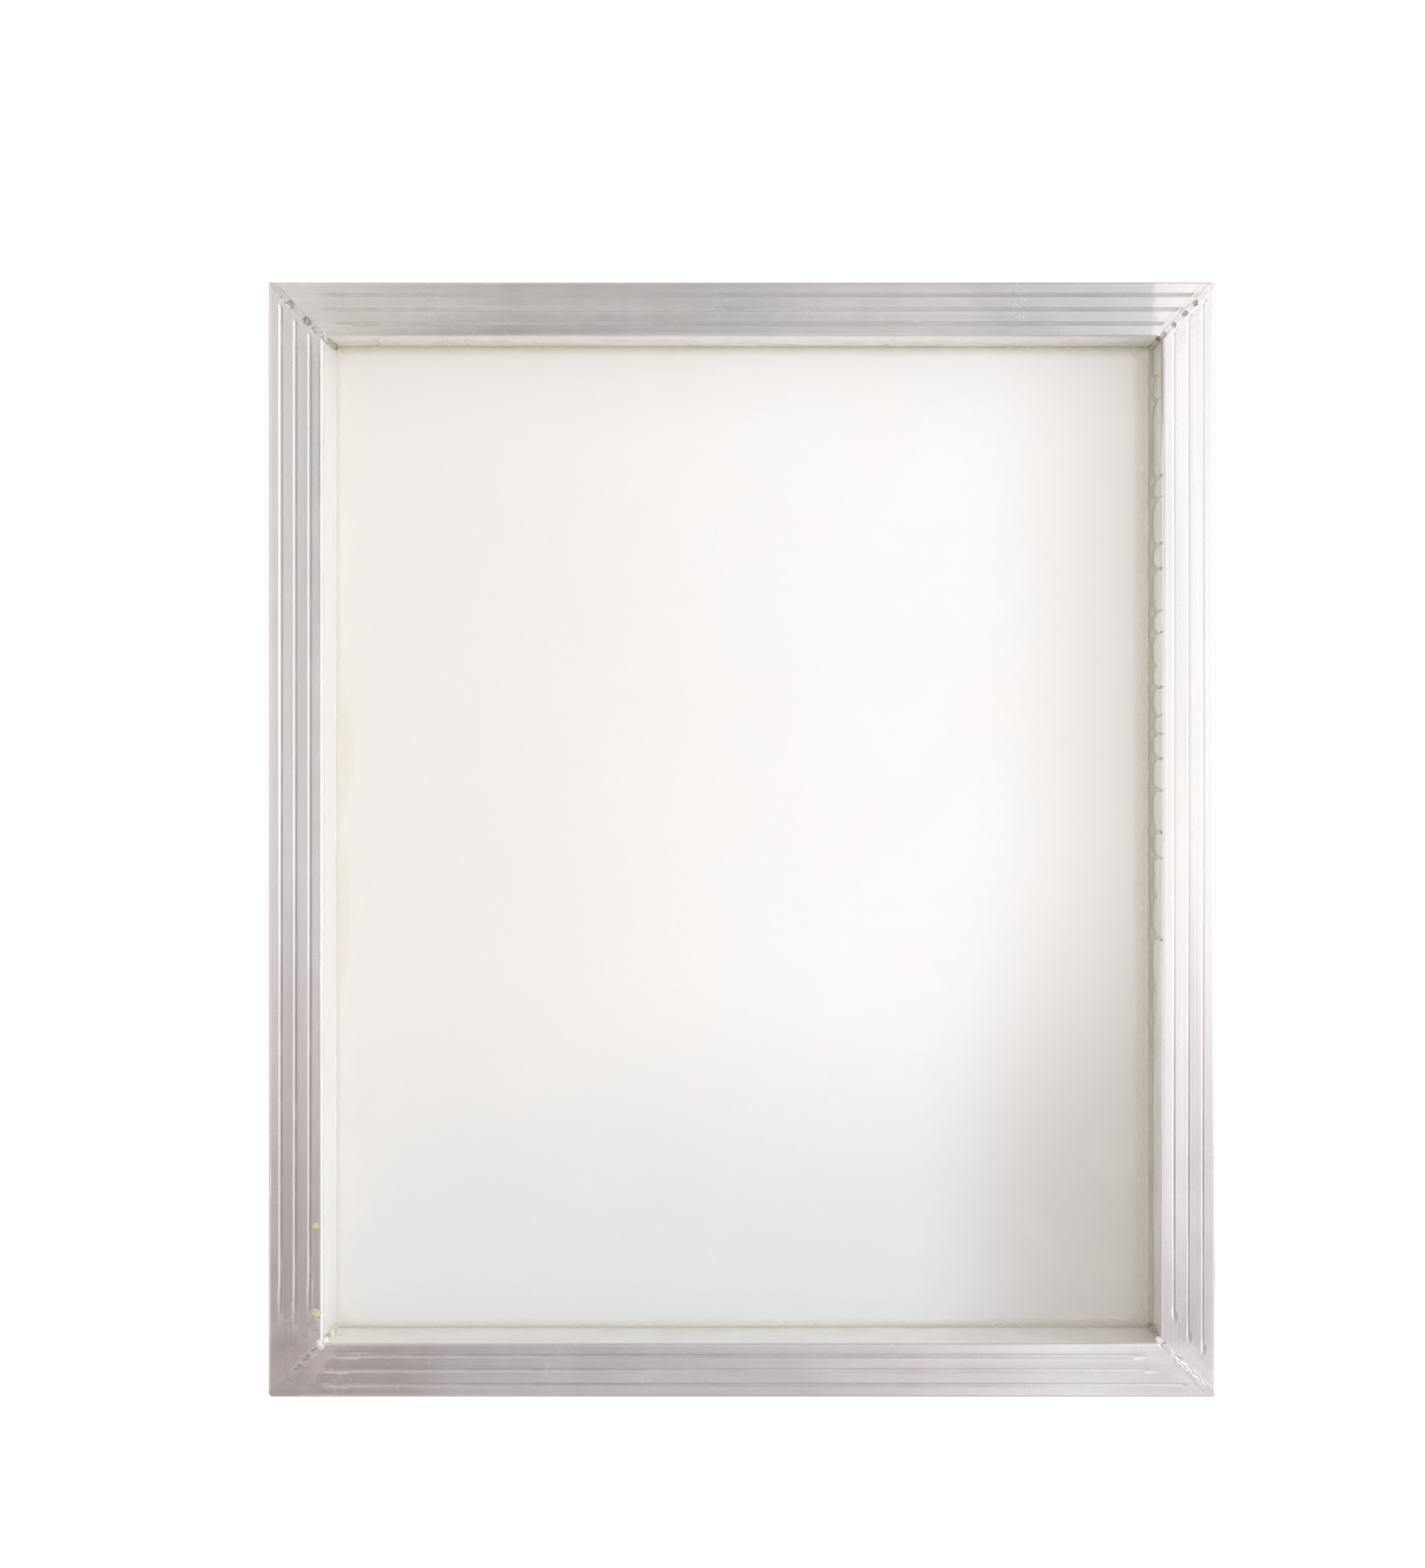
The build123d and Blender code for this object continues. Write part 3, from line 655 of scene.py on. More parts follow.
MAT_RAIL_X = aluminium("extrusion_across", "X")
MAT_RAIL_Y = aluminium("extrusion_lengthways", "Y")
MAT_SEAM = aluminium("ground_weld", "X", weld=True)
MAT_WELD = weld_metal("weld_bead")
MAT_MESH = mesh_cloth("polyester_mesh")
MAT_GLUE = glue("adhesive_body")
MAT_FILM = glue("adhesive_film", thin=True)
MAT_SPOT = glue("adhesive_spots_amber", tint=(0.80, 0.77, 0.50))


# ---------------------------------------------------------------------------
# Rails: the extrusion's section, lofted along each rail between its mitres
# ---------------------------------------------------------------------------
def arc_points(cx, cy, r, a0, a1, count):
    return [
        (cx + r * math.cos(math.radians(a0 + (a1 - a0) * i / count)),
         cy + r * math.sin(math.radians(a0 + (a1 - a0) * i / count)))
        for i in range(count + 1)
    ]


def flat_points(u0, u1, z, step):
    count = max(1, int(round(abs(u1 - u0) / step)))
    return [(u0 + (u1 - u0) * i / count, z) for i in range(count + 1)]


def rail_section():
    """Closed outline of the extrusion in (u, z). u is the distance from the
    outer face, z the height above the underside plane. Grooves are given as a
    depth to be applied along the rail. Returns u, z, normals, depth, index."""
    zt, zb = Z_TOP, Z_RAIL
    pts = []  # (u, z, nu, nz, groove depth, groove index, is_top)
    centres = [RAIL_W / 2 + (i - 1) * GROOVE_PITCH for i in range(3)]

    def face(top):
        row = []
        z, nz = (zt, 1.0) if top else (zb, -1.0)
        u = EDGE_R
        for gi, c in enumerate(centres):
            for (uu, _) in flat_points(u, c - GROOVE_W / 2, z, 1.1)[:-1]:
                row.append((uu, z, 0.0, nz, 0.0, -1, top))
            for k in range(11):
                off = -GROOVE_W / 2 + GROOVE_W * k / 10
                depth = math.sqrt(GROOVE_R ** 2 - off ** 2) - (GROOVE_R - GROOVE_D)
                row.append((c + off, z, 0.0, nz, max(depth, 0.0), gi, top))
            u = c + GROOVE_W / 2
        for k, (uu, _) in enumerate(flat_points(u, RAIL_W - EDGE_R, z, 1.1)):
            if k:
                row.append((uu, z, 0.0, nz, 0.0, -1, top))
        return row

    # upper face, outer to inner
    pts += face(True)
    # inner upper round
    for (uu, zz) in arc_points(RAIL_W - EDGE_R, zt - EDGE_R, EDGE_R, 90, 0, 6)[1:]:
        pts.append((uu, zz, (uu - (RAIL_W - EDGE_R)) / EDGE_R, (zz - (zt - EDGE_R)) / EDGE_R, 0, -1, False))
    # inner wall down
    for k, (zz, _) in enumerate(flat_points(zt - EDGE_R, zb + EDGE_R, 0, 2.3)):
        if k:
            pts.append((RAIL_W, zz, 1.0, 0.0, 0, -1, False))
    # inner lower round
    for (uu, zz) in arc_points(RAIL_W - EDGE_R, zb + EDGE_R, EDGE_R, 0, -90, 6)[1:]:
        pts.append((uu, zz, (uu - (RAIL_W - EDGE_R)) / EDGE_R, (zz - (zb + EDGE_R)) / EDGE_R, 0, -1, False))
    # lower face, inner to outer
    pts += list(reversed(face(False)))[1:]
    # outer lower round
    for (uu, zz) in arc_points(EDGE_R, zb + EDGE_R, EDGE_R, -90, -180, 6)[1:]:
        pts.append((uu, zz, (uu - EDGE_R) / EDGE_R, (zz - (zb + EDGE_R)) / EDGE_R, 0, -1, False))
    # outer wall up
    for k, (zz, _) in enumerate(flat_points(zb + EDGE_R, zt - EDGE_R, 0, 2.3)):
        if k:
            pts.append((0.0, zz, -1.0, 0.0, 0, -1, False))
    # outer upper round, stopping before the first point
    for (uu, zz) in arc_points(EDGE_R, zt - EDGE_R, EDGE_R, 180, 90, 6)[1:-1]:
        pts.append((uu, zz, (uu - EDGE_R) / EDGE_R, (zz - (zt - EDGE_R)) / EDGE_R, 0, -1, False))
    return pts


# where each upper groove fades: (start, end) from the mitre for the outer,
# middle and inner groove
GROOVE_STOPS = {
    "left": [(37.0, 3.0), (24.0, 3.5), (23.0, 4.0)],
    "right": [(13.0, 3.4), (12.0, 3.5), (15.0, 3.6)],
    "back": [(20.0, 3.0), (13.0, 3.0), (12.0, 6.0)],
    "front": [(24.0, 9.0), (15.0, 15.0), (14.0, 13.0)],
}
UNDER_STOP = 14.0

# nicks in the long edges: (distance along the rail, outer edge?, depth, reach)
NICKS = {
    "left": [(118.0, True, 0.35, 1.6), (231.0, False, 0.18, 1.0), (402.0, True, 0.25, 1.3), (517.0, False, 0.2, 1.0)],
    "right": [(64.0, True, 0.4, 1.8), (70.5, True, 0.3, 1.2), (300.0, False, 0.15, 0.9), (455.0, True, 0.2, 1.1)],
    "back": [(92.0, False, 0.2, 1.1), (208.0, True, 0.22, 1.2), (371.0, True, 0.2, 1.0), (402.0, False, 0.2, 1.3)],
    "front": [(153.0, True, 0.35, 1.7), (296.0, True, 0.2, 1.2), (337.0, False, 0.28, 1.4), (343.0, False, 0.2, 0.9), (418.0, True, 0.22, 1.1)],
}


def rail_axes(rail):
    """Start corner, direction along, direction inwards, length, and the sign
    pairs of its first and last corners."""
    if rail == "front":
        return np.array([-HW, -HL]), np.array([1.0, 0]), np.array([0, 1.0]), 2 * HW, "front_left", "front_right"
    if rail == "back":
        return np.array([-HW, HL]), np.array([1.0, 0]), np.array([0, -1.0]), 2 * HW, "back_left", "back_right"
    if rail == "left":
        return np.array([-HW, -HL]), np.array([0, 1.0]), np.array([1.0, 0]), 2 * HL, "front_left", "back_left"
    return np.array([HW, -HL]), np.array([0, 1.0]), np.array([-1.0, 0]), 2 * HL, "front_right", "back_right"


def seam_drop(q):
    """Depth of the V along the mitre that the weld fills."""
    return 0.95 * (1 - np.clip((np.abs(q) - 0.5) / 1.5, 0, 1))


def make_rail(rail, mat):
    start, e_s, e_u, length, c0, c1 = rail_axes(rail)
    seed = {"left": 11, "right": 23, "back": 37, "front": 51}[rail]
    sec = rail_section()
    nv = len(sec)
    u = np.array([p[0] for p in sec])
    z = np.array([p[1] for p in sec])
    nu_ = np.array([p[2] for p in sec])
    nz_ = np.array([p[3] for p in sec])
    depth = np.array([p[4] for p in sec])
    gidx = np.array([p[5] for p in sec])
    is_top = np.array([p[6] for p in sec])

    # stations: distances from the mitre near each end, then evenly between
    near = [0, 0.35, 0.7, 1.0, 1.4, 1.8, 2.2, 2.5, 2.83, 3.2, 3.6, 4.0, 4.4, 4.8, 5.3, 6, 6.8, 7.6, 8.5, 9.5, 10.5,
            11.5, 12.5, 13.5, 14.5, 15.5, 16.5, 17.5, 18.5, 19.5, 20.5, 21.5, 22.5, 23.5, 24.5, 25.5, 26.5, 28,
            29.5, 31, 32.5, 34, 36, 38, 40, 42, 44, 46, 49, 52, 56]
    st = [("a", d) for d in near]
    mid = list(np.arange(0, 1.0001, 1 / 56.0))[1:-1]
    for (pos, outer, dep, reach) in NICKS[rail]:
        t = (pos - 80.0) / (length - 160.0)
        for k in (-1.6, -1.0, -0.6, -0.3, 0, 0.3, 0.6, 1.0, 1.6):
            mid.append(t + k * reach / (length - 160.0))
    st += [("m", t) for t in sorted(mid) if 0 < t < 1]
    st += [("b", d) for d in reversed(near)]

    rows, dirt_and_shade_rows, residue_and_highlight_rows = [], [], []
    # place across each groove, -1 to 1, positive towards the inside
    across = np.where(gidx >= 0, (u - (RAIL_W / 2 + (gidx - 1) * GROOVE_PITCH)) / (GROOVE_W / 2), 0.0)
    inner_wall = (nu_ > 0.9) & (z < Z_TOP - 0.6)
    # how thick the dried residue is, from this rail's start to its end
    haze_at, haze_of = {"left": ([0, 600], [0.95, 0.95]), "right": ([60, 120, 200, 425, 520, 560], [0.58, 0.62, 0.72, 0.70, 0.40, 0.30]),
                        "back": ([70, 162, 265, 367, 444], [0.40, 0.52, 0.72, 0.94, 0.86]), "front": ([70, 265, 367, 444], [0.66, 0.68, 0.84, 0.50])}[rail]
    last = near[-1]
    for kind, val in st:
        if kind == "a":
            s = u + val
            d0, d1 = np.full(nv, val), np.full(nv, 999.0)
        elif kind == "b":
            s = length - u - val
            d0, d1 = np.full(nv, 999.0), np.full(nv, val)
        else:
            s = (u + last) * (1 - val) + (length - u - last) * val
            d0, d1 = s - u, length - u - s
        q = np.minimum(d0, d1) / math.sqrt(2)
        # grooves fade out towards each end
        g = np.ones(nv)
        for i in range(3):
            first, end = GROOVE_STOPS[rail][i]
            r0 = 1.8 if first < 10 else 13.0
            if rail in ("left", "front"):
                # faded out over a long way at this corner
                first, r0 = first - 6.0, 30.0
            r1 = 1.8 if end < 10 else 13.0
            sel = (gidx == i) & is_top
            g[sel] = (smooth(d0, first, first + r0) * smooth(d1, end, end + r1))[sel]
            sel = (gidx == i) & ~is_top
            g[sel] = (smooth(d0, UNDER_STOP, UNDER_STOP + 6) * smooth(d1, UNDER_STOP, UNDER_STOP + 6))[sel]
        uu, zz = u.copy(), z - np.sign(nz_) * depth * g
        # the V that the weld fills, on every face but the inner wall
        v = seam_drop(q) * np.clip(1 - np.clip(nu_, 0, 1) * 1.6, 0, 1)
        uu, zz = uu - nu_ * v, zz - nz_ * v
        # surface not quite flat: extrusion waviness, and dished by grinding
        top = (nz_ > 0.3)
        wav = 0.010 * noise2(s / 46.0, uu / 14.0, seed) + 0.006 * noise2(s / 17.0, uu / 9.0, seed + 3)
        zz = zz + np.where(top, wav + dish(q, seed, s), 0.0)
        zz = zz - np.where(nz_ < -0.3, wav * 0.5, 0.0)
        out = (nu_ < -0.3)
        uu = uu + np.where(out, 0.012 * (1 + noise2(s / 40.0, zz / 12.0, seed + 9)), 0.0)
        # nicks
        for (pos, outer, dep, reach) in NICKS[rail]:
            edge_u = 0.25 if outer else RAIL_W - 0.25
            dist = np.sqrt(((s - pos) / reach) ** 2 + ((u - edge_u) / 0.9) ** 2 + ((z - (Z_TOP - 0.25)) / 0.9) ** 2)
            k = dep * np.clip(1 - dist, 0, 1) ** 0.8
            uu = uu + (k if outer else -k) * 0.7
            zz = zz - k * 0.7
        # round the outer corners
        d_end = length - s
        rad0, rad1 = CORNERS[c0][2], CORNERS[c1][2]
        s1, uu1 = round_corner(s, uu, rad0)
        e1, uu2 = round_corner(length - s1, uu1, rad1)
        s2 = length - e1
        xy = start[None, :] + s2[:, None] * e_s[None, :] + uu2[:, None] * e_u[None, :]
        rows.append(np.column_stack([xy, zz]))
        # painted shade in the grooves and along the inner edge, uneven along the rail
        unevenness = 1 + 0.30 * noise1(s * 0.11, seed + 31) + 0.15 * noise1(s * 0.7, seed + 33)
        if rail == "left":
            # painted shade on the far side of each groove, the side turned away from the light
            onset = np.interp(s, [100, 260, 420], [-0.50, -0.08, 0.05])
            grime_and_shade = smooth((across - onset) / 0.4, 0, 1) * unevenness
            # the two inner grooves catch less light than the outer one
            grime_and_shade = np.maximum(grime_and_shade, np.array([0.0, 0.16, 0.24])[np.clip(gidx, 0, 2)] * unevenness)
            # painted shade: the grooves darker towards the rail's front end
            grime_and_shade = np.maximum(grime_and_shade, (0.02 + 0.46 * smooth(s, 440, 60)) * unevenness)
        # the other rails: painted shade in the grooves, on the front rail also on their far side
        elif rail == "right":
            grime_and_shade = 0.90 * np.exp(-((across + 0.10) / 0.55) ** 2) * smooth(s, 300, 120) * unevenness
        elif rail == "back":
            grime_and_shade = 0.42 * unevenness
        else:
            grime_and_shade = np.interp(s, [60, 200, 345, 430, 500], [0.44, 0.40, 0.32, 0.10, 0.08]) * unevenness
            grime_and_shade = grime_and_shade + 0.34 * smooth((across + 0.4) / 0.4, 0, 1) * smooth(s, 300, 150) * unevenness
        in_groove = np.clip(g / 0.15, 0, 1) * np.where(np.abs(across) > 0.95, 0.45, 1.0) if rail in ("left", "front") else np.clip(depth * g / 0.2, 0, 1)
        # painted shade is kept to the grooves; on the underside the groove hollows are painted darker
        grime_and_shade = np.where((gidx >= 0) & is_top, grime_and_shade * in_groove, np.where(depth > 0.25, 0.3, 0.0))
        lip = {"left": 0.0, "right": 0.95, "back": 0.05, "front": 0.15}[rail]
        if rail == "right":
            # a dark line at the head of the wall, under a painted highlight on the rounded edge
            head = (0.52 + 0.25 * noise1(s * 0.05, seed + 37)) * np.where(zz > Z_TOP - 2.0, 1.0, 0.55) * smooth(s, 40, 130)
            grime_and_shade = np.maximum(grime_and_shade, np.where((nu_ > 0.9) & (zz > Z_TOP - 3.6), head, 0.0))
            over = smooth(s, 500, 538)
            grime_and_shade = np.maximum(grime_and_shade, np.where((nu_ > 0.35) & (zz > Z_TOP - 2.0), 0.95 * over, 0.0))
            grime_and_shade = np.maximum(grime_and_shade, np.where(nu_ > 0.9, 0.16 * over, 0.0))
        else:
            grime_and_shade = np.maximum(grime_and_shade, np.where((nu_ > 0.45) & (zz > Z_TOP - 0.9), lip + 0.5 * lip * noise1(s * 0.05, seed + 37), 0.0))
        residue_and_highlight_rows.append(np.where(inner_wall, np.clip(np.interp(s, haze_at, haze_of) * (1 + 0.35 * noise2(s * 0.06, zz * 0.18, seed + 41)
                                                                    + 0.25 * noise2(s * 0.5, zz * 0.3, seed + 43)), 0, 1), 0.0))
        # painted highlight: the right rail's rounded inner edge whitened as residue, fading out near the back end
        if rail == "right":
            residue_and_highlight_rows[-1] = np.where((nu_ > 0.05) & (nu_ <= 0.9) & (z > Z_TOP - 1.5), 0.75 * (1 - over), residue_and_highlight_rows[-1])
        dirt_and_shade_rows.append(np.clip(grime_and_shade, 0, 1))
    grid = np.vstack(rows)
    dirt_and_shade = np.concatenate(dirt_and_shade_rows)
    haze = np.concatenate(residue_and_highlight_rows)
    ns = len(st)
    flip = rail in ("left", "back")
    faces = grid_faces(ns, nv, 0, flip=flip, wrap_v=True)

    # the hollow inside, straight from mitre to mitre
    b = WALL
    inner_sec = [(b + 0.5, Z_TOP - b), (RAIL_W - b - 0.5, Z_TOP - b), (RAIL_W - b, Z_TOP - b - 0.5),
                 (RAIL_W - b, Z_RAIL + b + 0.5), (RAIL_W - b - 0.5, Z_RAIL + b), (b + 0.5, Z_RAIL + b),
                 (b, Z_RAIL + b + 0.5), (b, Z_TOP - b - 0.5)]
    inner = []
    for end in (0, 1):
        for (iu, iz) in inner_sec:
            s = iu if end == 0 else length - iu
            xy = start + s * e_s + iu * e_u
            inner.append((xy[0], xy[1], iz))
    base = len(grid)
    ni = len(inner_sec)
    faces += grid_faces(2, ni, base, flip=not flip, wrap_v=True)
    verts = np.vstack([grid, np.array(inner)])
    dirt_and_shade = np.concatenate([dirt_and_shade, np.zeros(2 * ni)])
    haze = np.concatenate([haze, np.zeros(2 * ni)])

    me = bpy.data.meshes.new("rail_" + rail + "_extrusion")
    me.from_pydata([tuple(v) for v in verts * MM], [], faces)
    for key, vals in (("dirt_and_shade", dirt_and_shade), ("haze", haze)):
        at = me.attributes.new(key, "FLOAT", "POINT")
        at.data.foreach_set("value", vals.astype(np.float32))
    bm = bmesh.new()
    bm.from_mesh(me)
    bm.verts.ensure_lookup_table()
    bm.edges.ensure_lookup_table()
    for end in (0, 1):
        ring_o = [(ns - 1) * nv * end + j for j in range(nv)]
        ring_i = [base + ni * end + j for j in range(ni)]
        edges = []
        for ring in (ring_o, ring_i):
            for k in range(len(ring)):
                e = bm.edges.get((bm.verts[ring[k]], bm.verts[ring[(k + 1) % len(ring)]]))
                if e is not None:
                    edges.append(e)
        bmesh.ops.bridge_loops(bm, edges=edges)
    bmesh.ops.recalc_face_normals(bm, faces=bm.faces)
    bm.to_mesh(me)
    bm.free()
    for p in me.polygons:
        p.use_smooth = True
    me.set_sharp_from_angle(angle=math.radians(32))
    me.materials.append(mat)
    ob = bpy.data.objects.new("rail_" + rail + "_extrusion", me)
    bpy.context.scene.collection.objects.link(ob)
    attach(ob, "root")
    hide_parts("rail_" + rail)
    return ob


make_rail("left", MAT_RAIL_Y)
make_rail("right", MAT_RAIL_Y)
make_rail("back", MAT_RAIL_X)
make_rail("front", MAT_RAIL_X)


# ---------------------------------------------------------------------------
# Welds
# ---------------------------------------------------------------------------
def plan_point(a, b, corner):
    """From distances inwards from the two outer faces to x, y."""
    sx, sy, r = CORNERS[corner]
    a, b = round_corner(a, b, r)
    return sx * (HW - a), sy * (HL - b)


# marks along each upper seam: (p from the inner corner, q across, radius,
# depth, rim) with q positive towards the left or right rail's side
SEAM_MARKS = {
    "back_left": [(24.3, 0.7, 1.9, 0.90, 0.10), (25.9, 1.7, 1.0, 0.50, 0.04), (11.6, 0.2, 1.7, 0.95, 0.12),
                  (13.2, 1.3, 1.0, 0.45, 0.04), (5.2, 1.9, 1.1, 0.55, 0.05), (6.2, 1.0, 0.9, 0.50, 0.04),
                  (4.2, 2.4, 0.8, 0.45, 0.03), (30.4, 0.6, 0.6, 0.35, 0.0)],
    "back_right": [(25.2, 0.1, 1.10, 0.90, 0.05), (17.6, 0.3, 1.15, 0.95, 0.05), (9.0, 0.2, 1.0, 0.90, 0.05),
                   (1.9, 0.2, 0.8, 0.55, 0.03)],
    "front_left": [(18.6, 0.6, 1.5, 0.95, 0.12), (16.9, -0.6, 0.9, 0.40, 0.08), (11.6, 0.7, 1.5, 0.80, 0.14),
                   (13.6, 1.4, 0.8, 0.35, 0.06), (5.4, 1.6, 1.3, 0.85, 0.08), (26.5, -1.0, 0.8, 0.15, 0.05)],
    "front_right": [(12.6, 0.5, 1.2, 0.50, 0.10), (9.0, -0.4, 0.9, 0.35, 0.08), (17.5, -0.2, 0.9, 0.30, 0.08),
                    (22.6, 0.2, 0.8, 0.25, 0.06), (28.4, 0.0, 0.8, 0.20, 0.04)],
}


def make_face_weld(corner, seed):
    sx, sy, r = CORNERS[corner]
    np_, nq = 150, 36
    P = np.linspace(0.25, RAIL_W * math.sqrt(2) - 0.9, np_)
    Q = np.linspace(-1, 1, nq)
    pp, qq = np.meshgrid(P, Q, indexing="ij")
    # the patch narrows to stay on the rail at the inner and the outer corner
    qq = qq * np.minimum(4.2, np.minimum(pp - 0.08, RAIL_W * math.sqrt(2) - 0.25 - pp))
    # distance inwards from the two outer faces
    a = RAIL_W - (pp + qq) / math.sqrt(2)
    b = RAIL_W - (pp - qq) / math.sqrt(2)
    u = np.minimum(a, b)
    env = Z_TOP - edge_drop(np.clip(u, 0, RAIL_W)) + dish(qq, seed, pp)
    edge = 3.1 + 0.7 * noise1(pp * 0.35, seed + 1) + 0.3 * noise1(pp * 1.3, seed + 2)
    edge2 = 3.1 + 0.7 * noise1(pp * 0.33 + 50, seed + 3) + 0.3 * noise1(pp * 1.2, seed + 4)
    e = np.where(qq > 0, edge, edge2)
    feather = smooth(np.abs(qq), e, e - 1.6)
    proud = 0.05 + 0.035 * fbm2(pp * 0.35, qq * 0.5, seed + 6) + 0.02 * fbm2(pp * 1.4, qq * 1.2, seed + 7)
    if corner == "front_right":
        # this seam was left with more of its bead showing
        line = np.exp(-((qq - 0.7 * noise1(pp * 0.3, seed + 8) - 0.3 * noise1(pp * 1.3, seed + 10)) / 0.40) ** 2)
        spur = np.exp(-((qq + 1.3 - 0.6 * noise1(pp * 0.6, seed + 13)) / 0.40) ** 2) * np.clip(noise1(pp * 0.8, seed + 14) * 2, 0, 1)
        proud = proud + (0.24 * line * (1 + 0.8 * noise1(pp * 1.3, seed + 9)) + 0.20 * spur) * smooth(pp, 5, 9) * smooth(pp, 35, 30)
    if corner == "front_left":
        proud = proud + 0.06 * fbm2(pp * 0.8, qq * 0.8, seed + 12) * smooth(pp, 26, 22)
    h = env + proud * feather - 0.10 * (1 - feather)
    dirt_and_shade = np.zeros_like(h)
    for (mp, mq, mr, md, rim) in SEAM_MARKS[corner]:
        wob = 1 + 0.28 * noise2(pp * 1.1, qq * 1.1, seed + int(mp * 7))
        stretch = 1.0 + 0.35 * noise1(np.array([mp]), seed + 40)[0]
        dist = np.hypot((pp - mp) / stretch, (qq - mq) * stretch) / (mr * 1.3) * wob
        dist = dist * (1 + 0.22 * noise2(pp * 2.3 + mp, qq * 2.3, seed + 19))
        bowl = np.clip(1 - dist, 0, 1)
        h = h - 0.62 * md * smooth(bowl, 0.0, 0.5) * (1 + 0.35 * noise2(pp * 1.9, qq * 1.9, seed + 23)) + rim * np.exp(-((dist - 1.15) / 0.22) ** 2)
        dirt_and_shade = np.maximum(dirt_and_shade, np.clip(0.95 * np.exp(-((dist - 0.78) / 0.20) ** 2) + 0.45 * smooth(bowl, 0.1, 0.6), 0, 1))
    # hairlines where the grinding has not quite cleaned the seam's border
    dirt_and_shade = np.clip(dirt_and_shade * (0.35 if corner == "front_right" else 1.25), 0, 1)
    # the crest of the bead left proud is chalky white
    crest = np.zeros_like(dirt_and_shade)
    if corner == "front_right":
        crest = np.clip(1.3 * line * (0.75 + 0.9 * noise1(pp * 0.9, seed + 16)) + 0.8 * spur, 0, 1) * smooth(pp, 5, 8) * smooth(pp, 34, 30)
    hair = np.exp(-((np.abs(qq) - e + 0.9) / 0.25) ** 2) * np.clip(noise1(pp * 0.5, seed + 15), 0, 1)
    dirt_and_shade = np.maximum(dirt_and_shade, 0.35 * hair)
    x, y = plan_point(a, b, corner)
    top = np.column_stack([x.ravel(), y.ravel(), h.ravel()])
    bot = top.copy()
    # root of the V
    bot[:, 2] = np.minimum(Z_TOP - 1.15, top[:, 2] - 0.15)
    shrink = 0.35
    xb, yb = plan_point(RAIL_W - (pp + qq * shrink) / math.sqrt(2), RAIL_W - (pp - qq * shrink) / math.sqrt(2), corner)
    bot[:, 0], bot[:, 1] = xb.ravel(), yb.ravel()
    verts, faces = closed_slab(top, bot, np_, nq)
    ob = new_object("seam_" + corner, verts, faces, MAT_SEAM, sharp=50,
                    attrs={"dirt_and_shade": np.concatenate([dirt_and_shade.ravel(), np.zeros(dirt_and_shade.size)]),
                           "haze": np.concatenate([crest.ravel(), np.zeros(dirt_and_shade.size)])})
    fix_normals(ob)
    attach(ob, "root")
    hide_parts("weld_face_" + corner)
    return ob


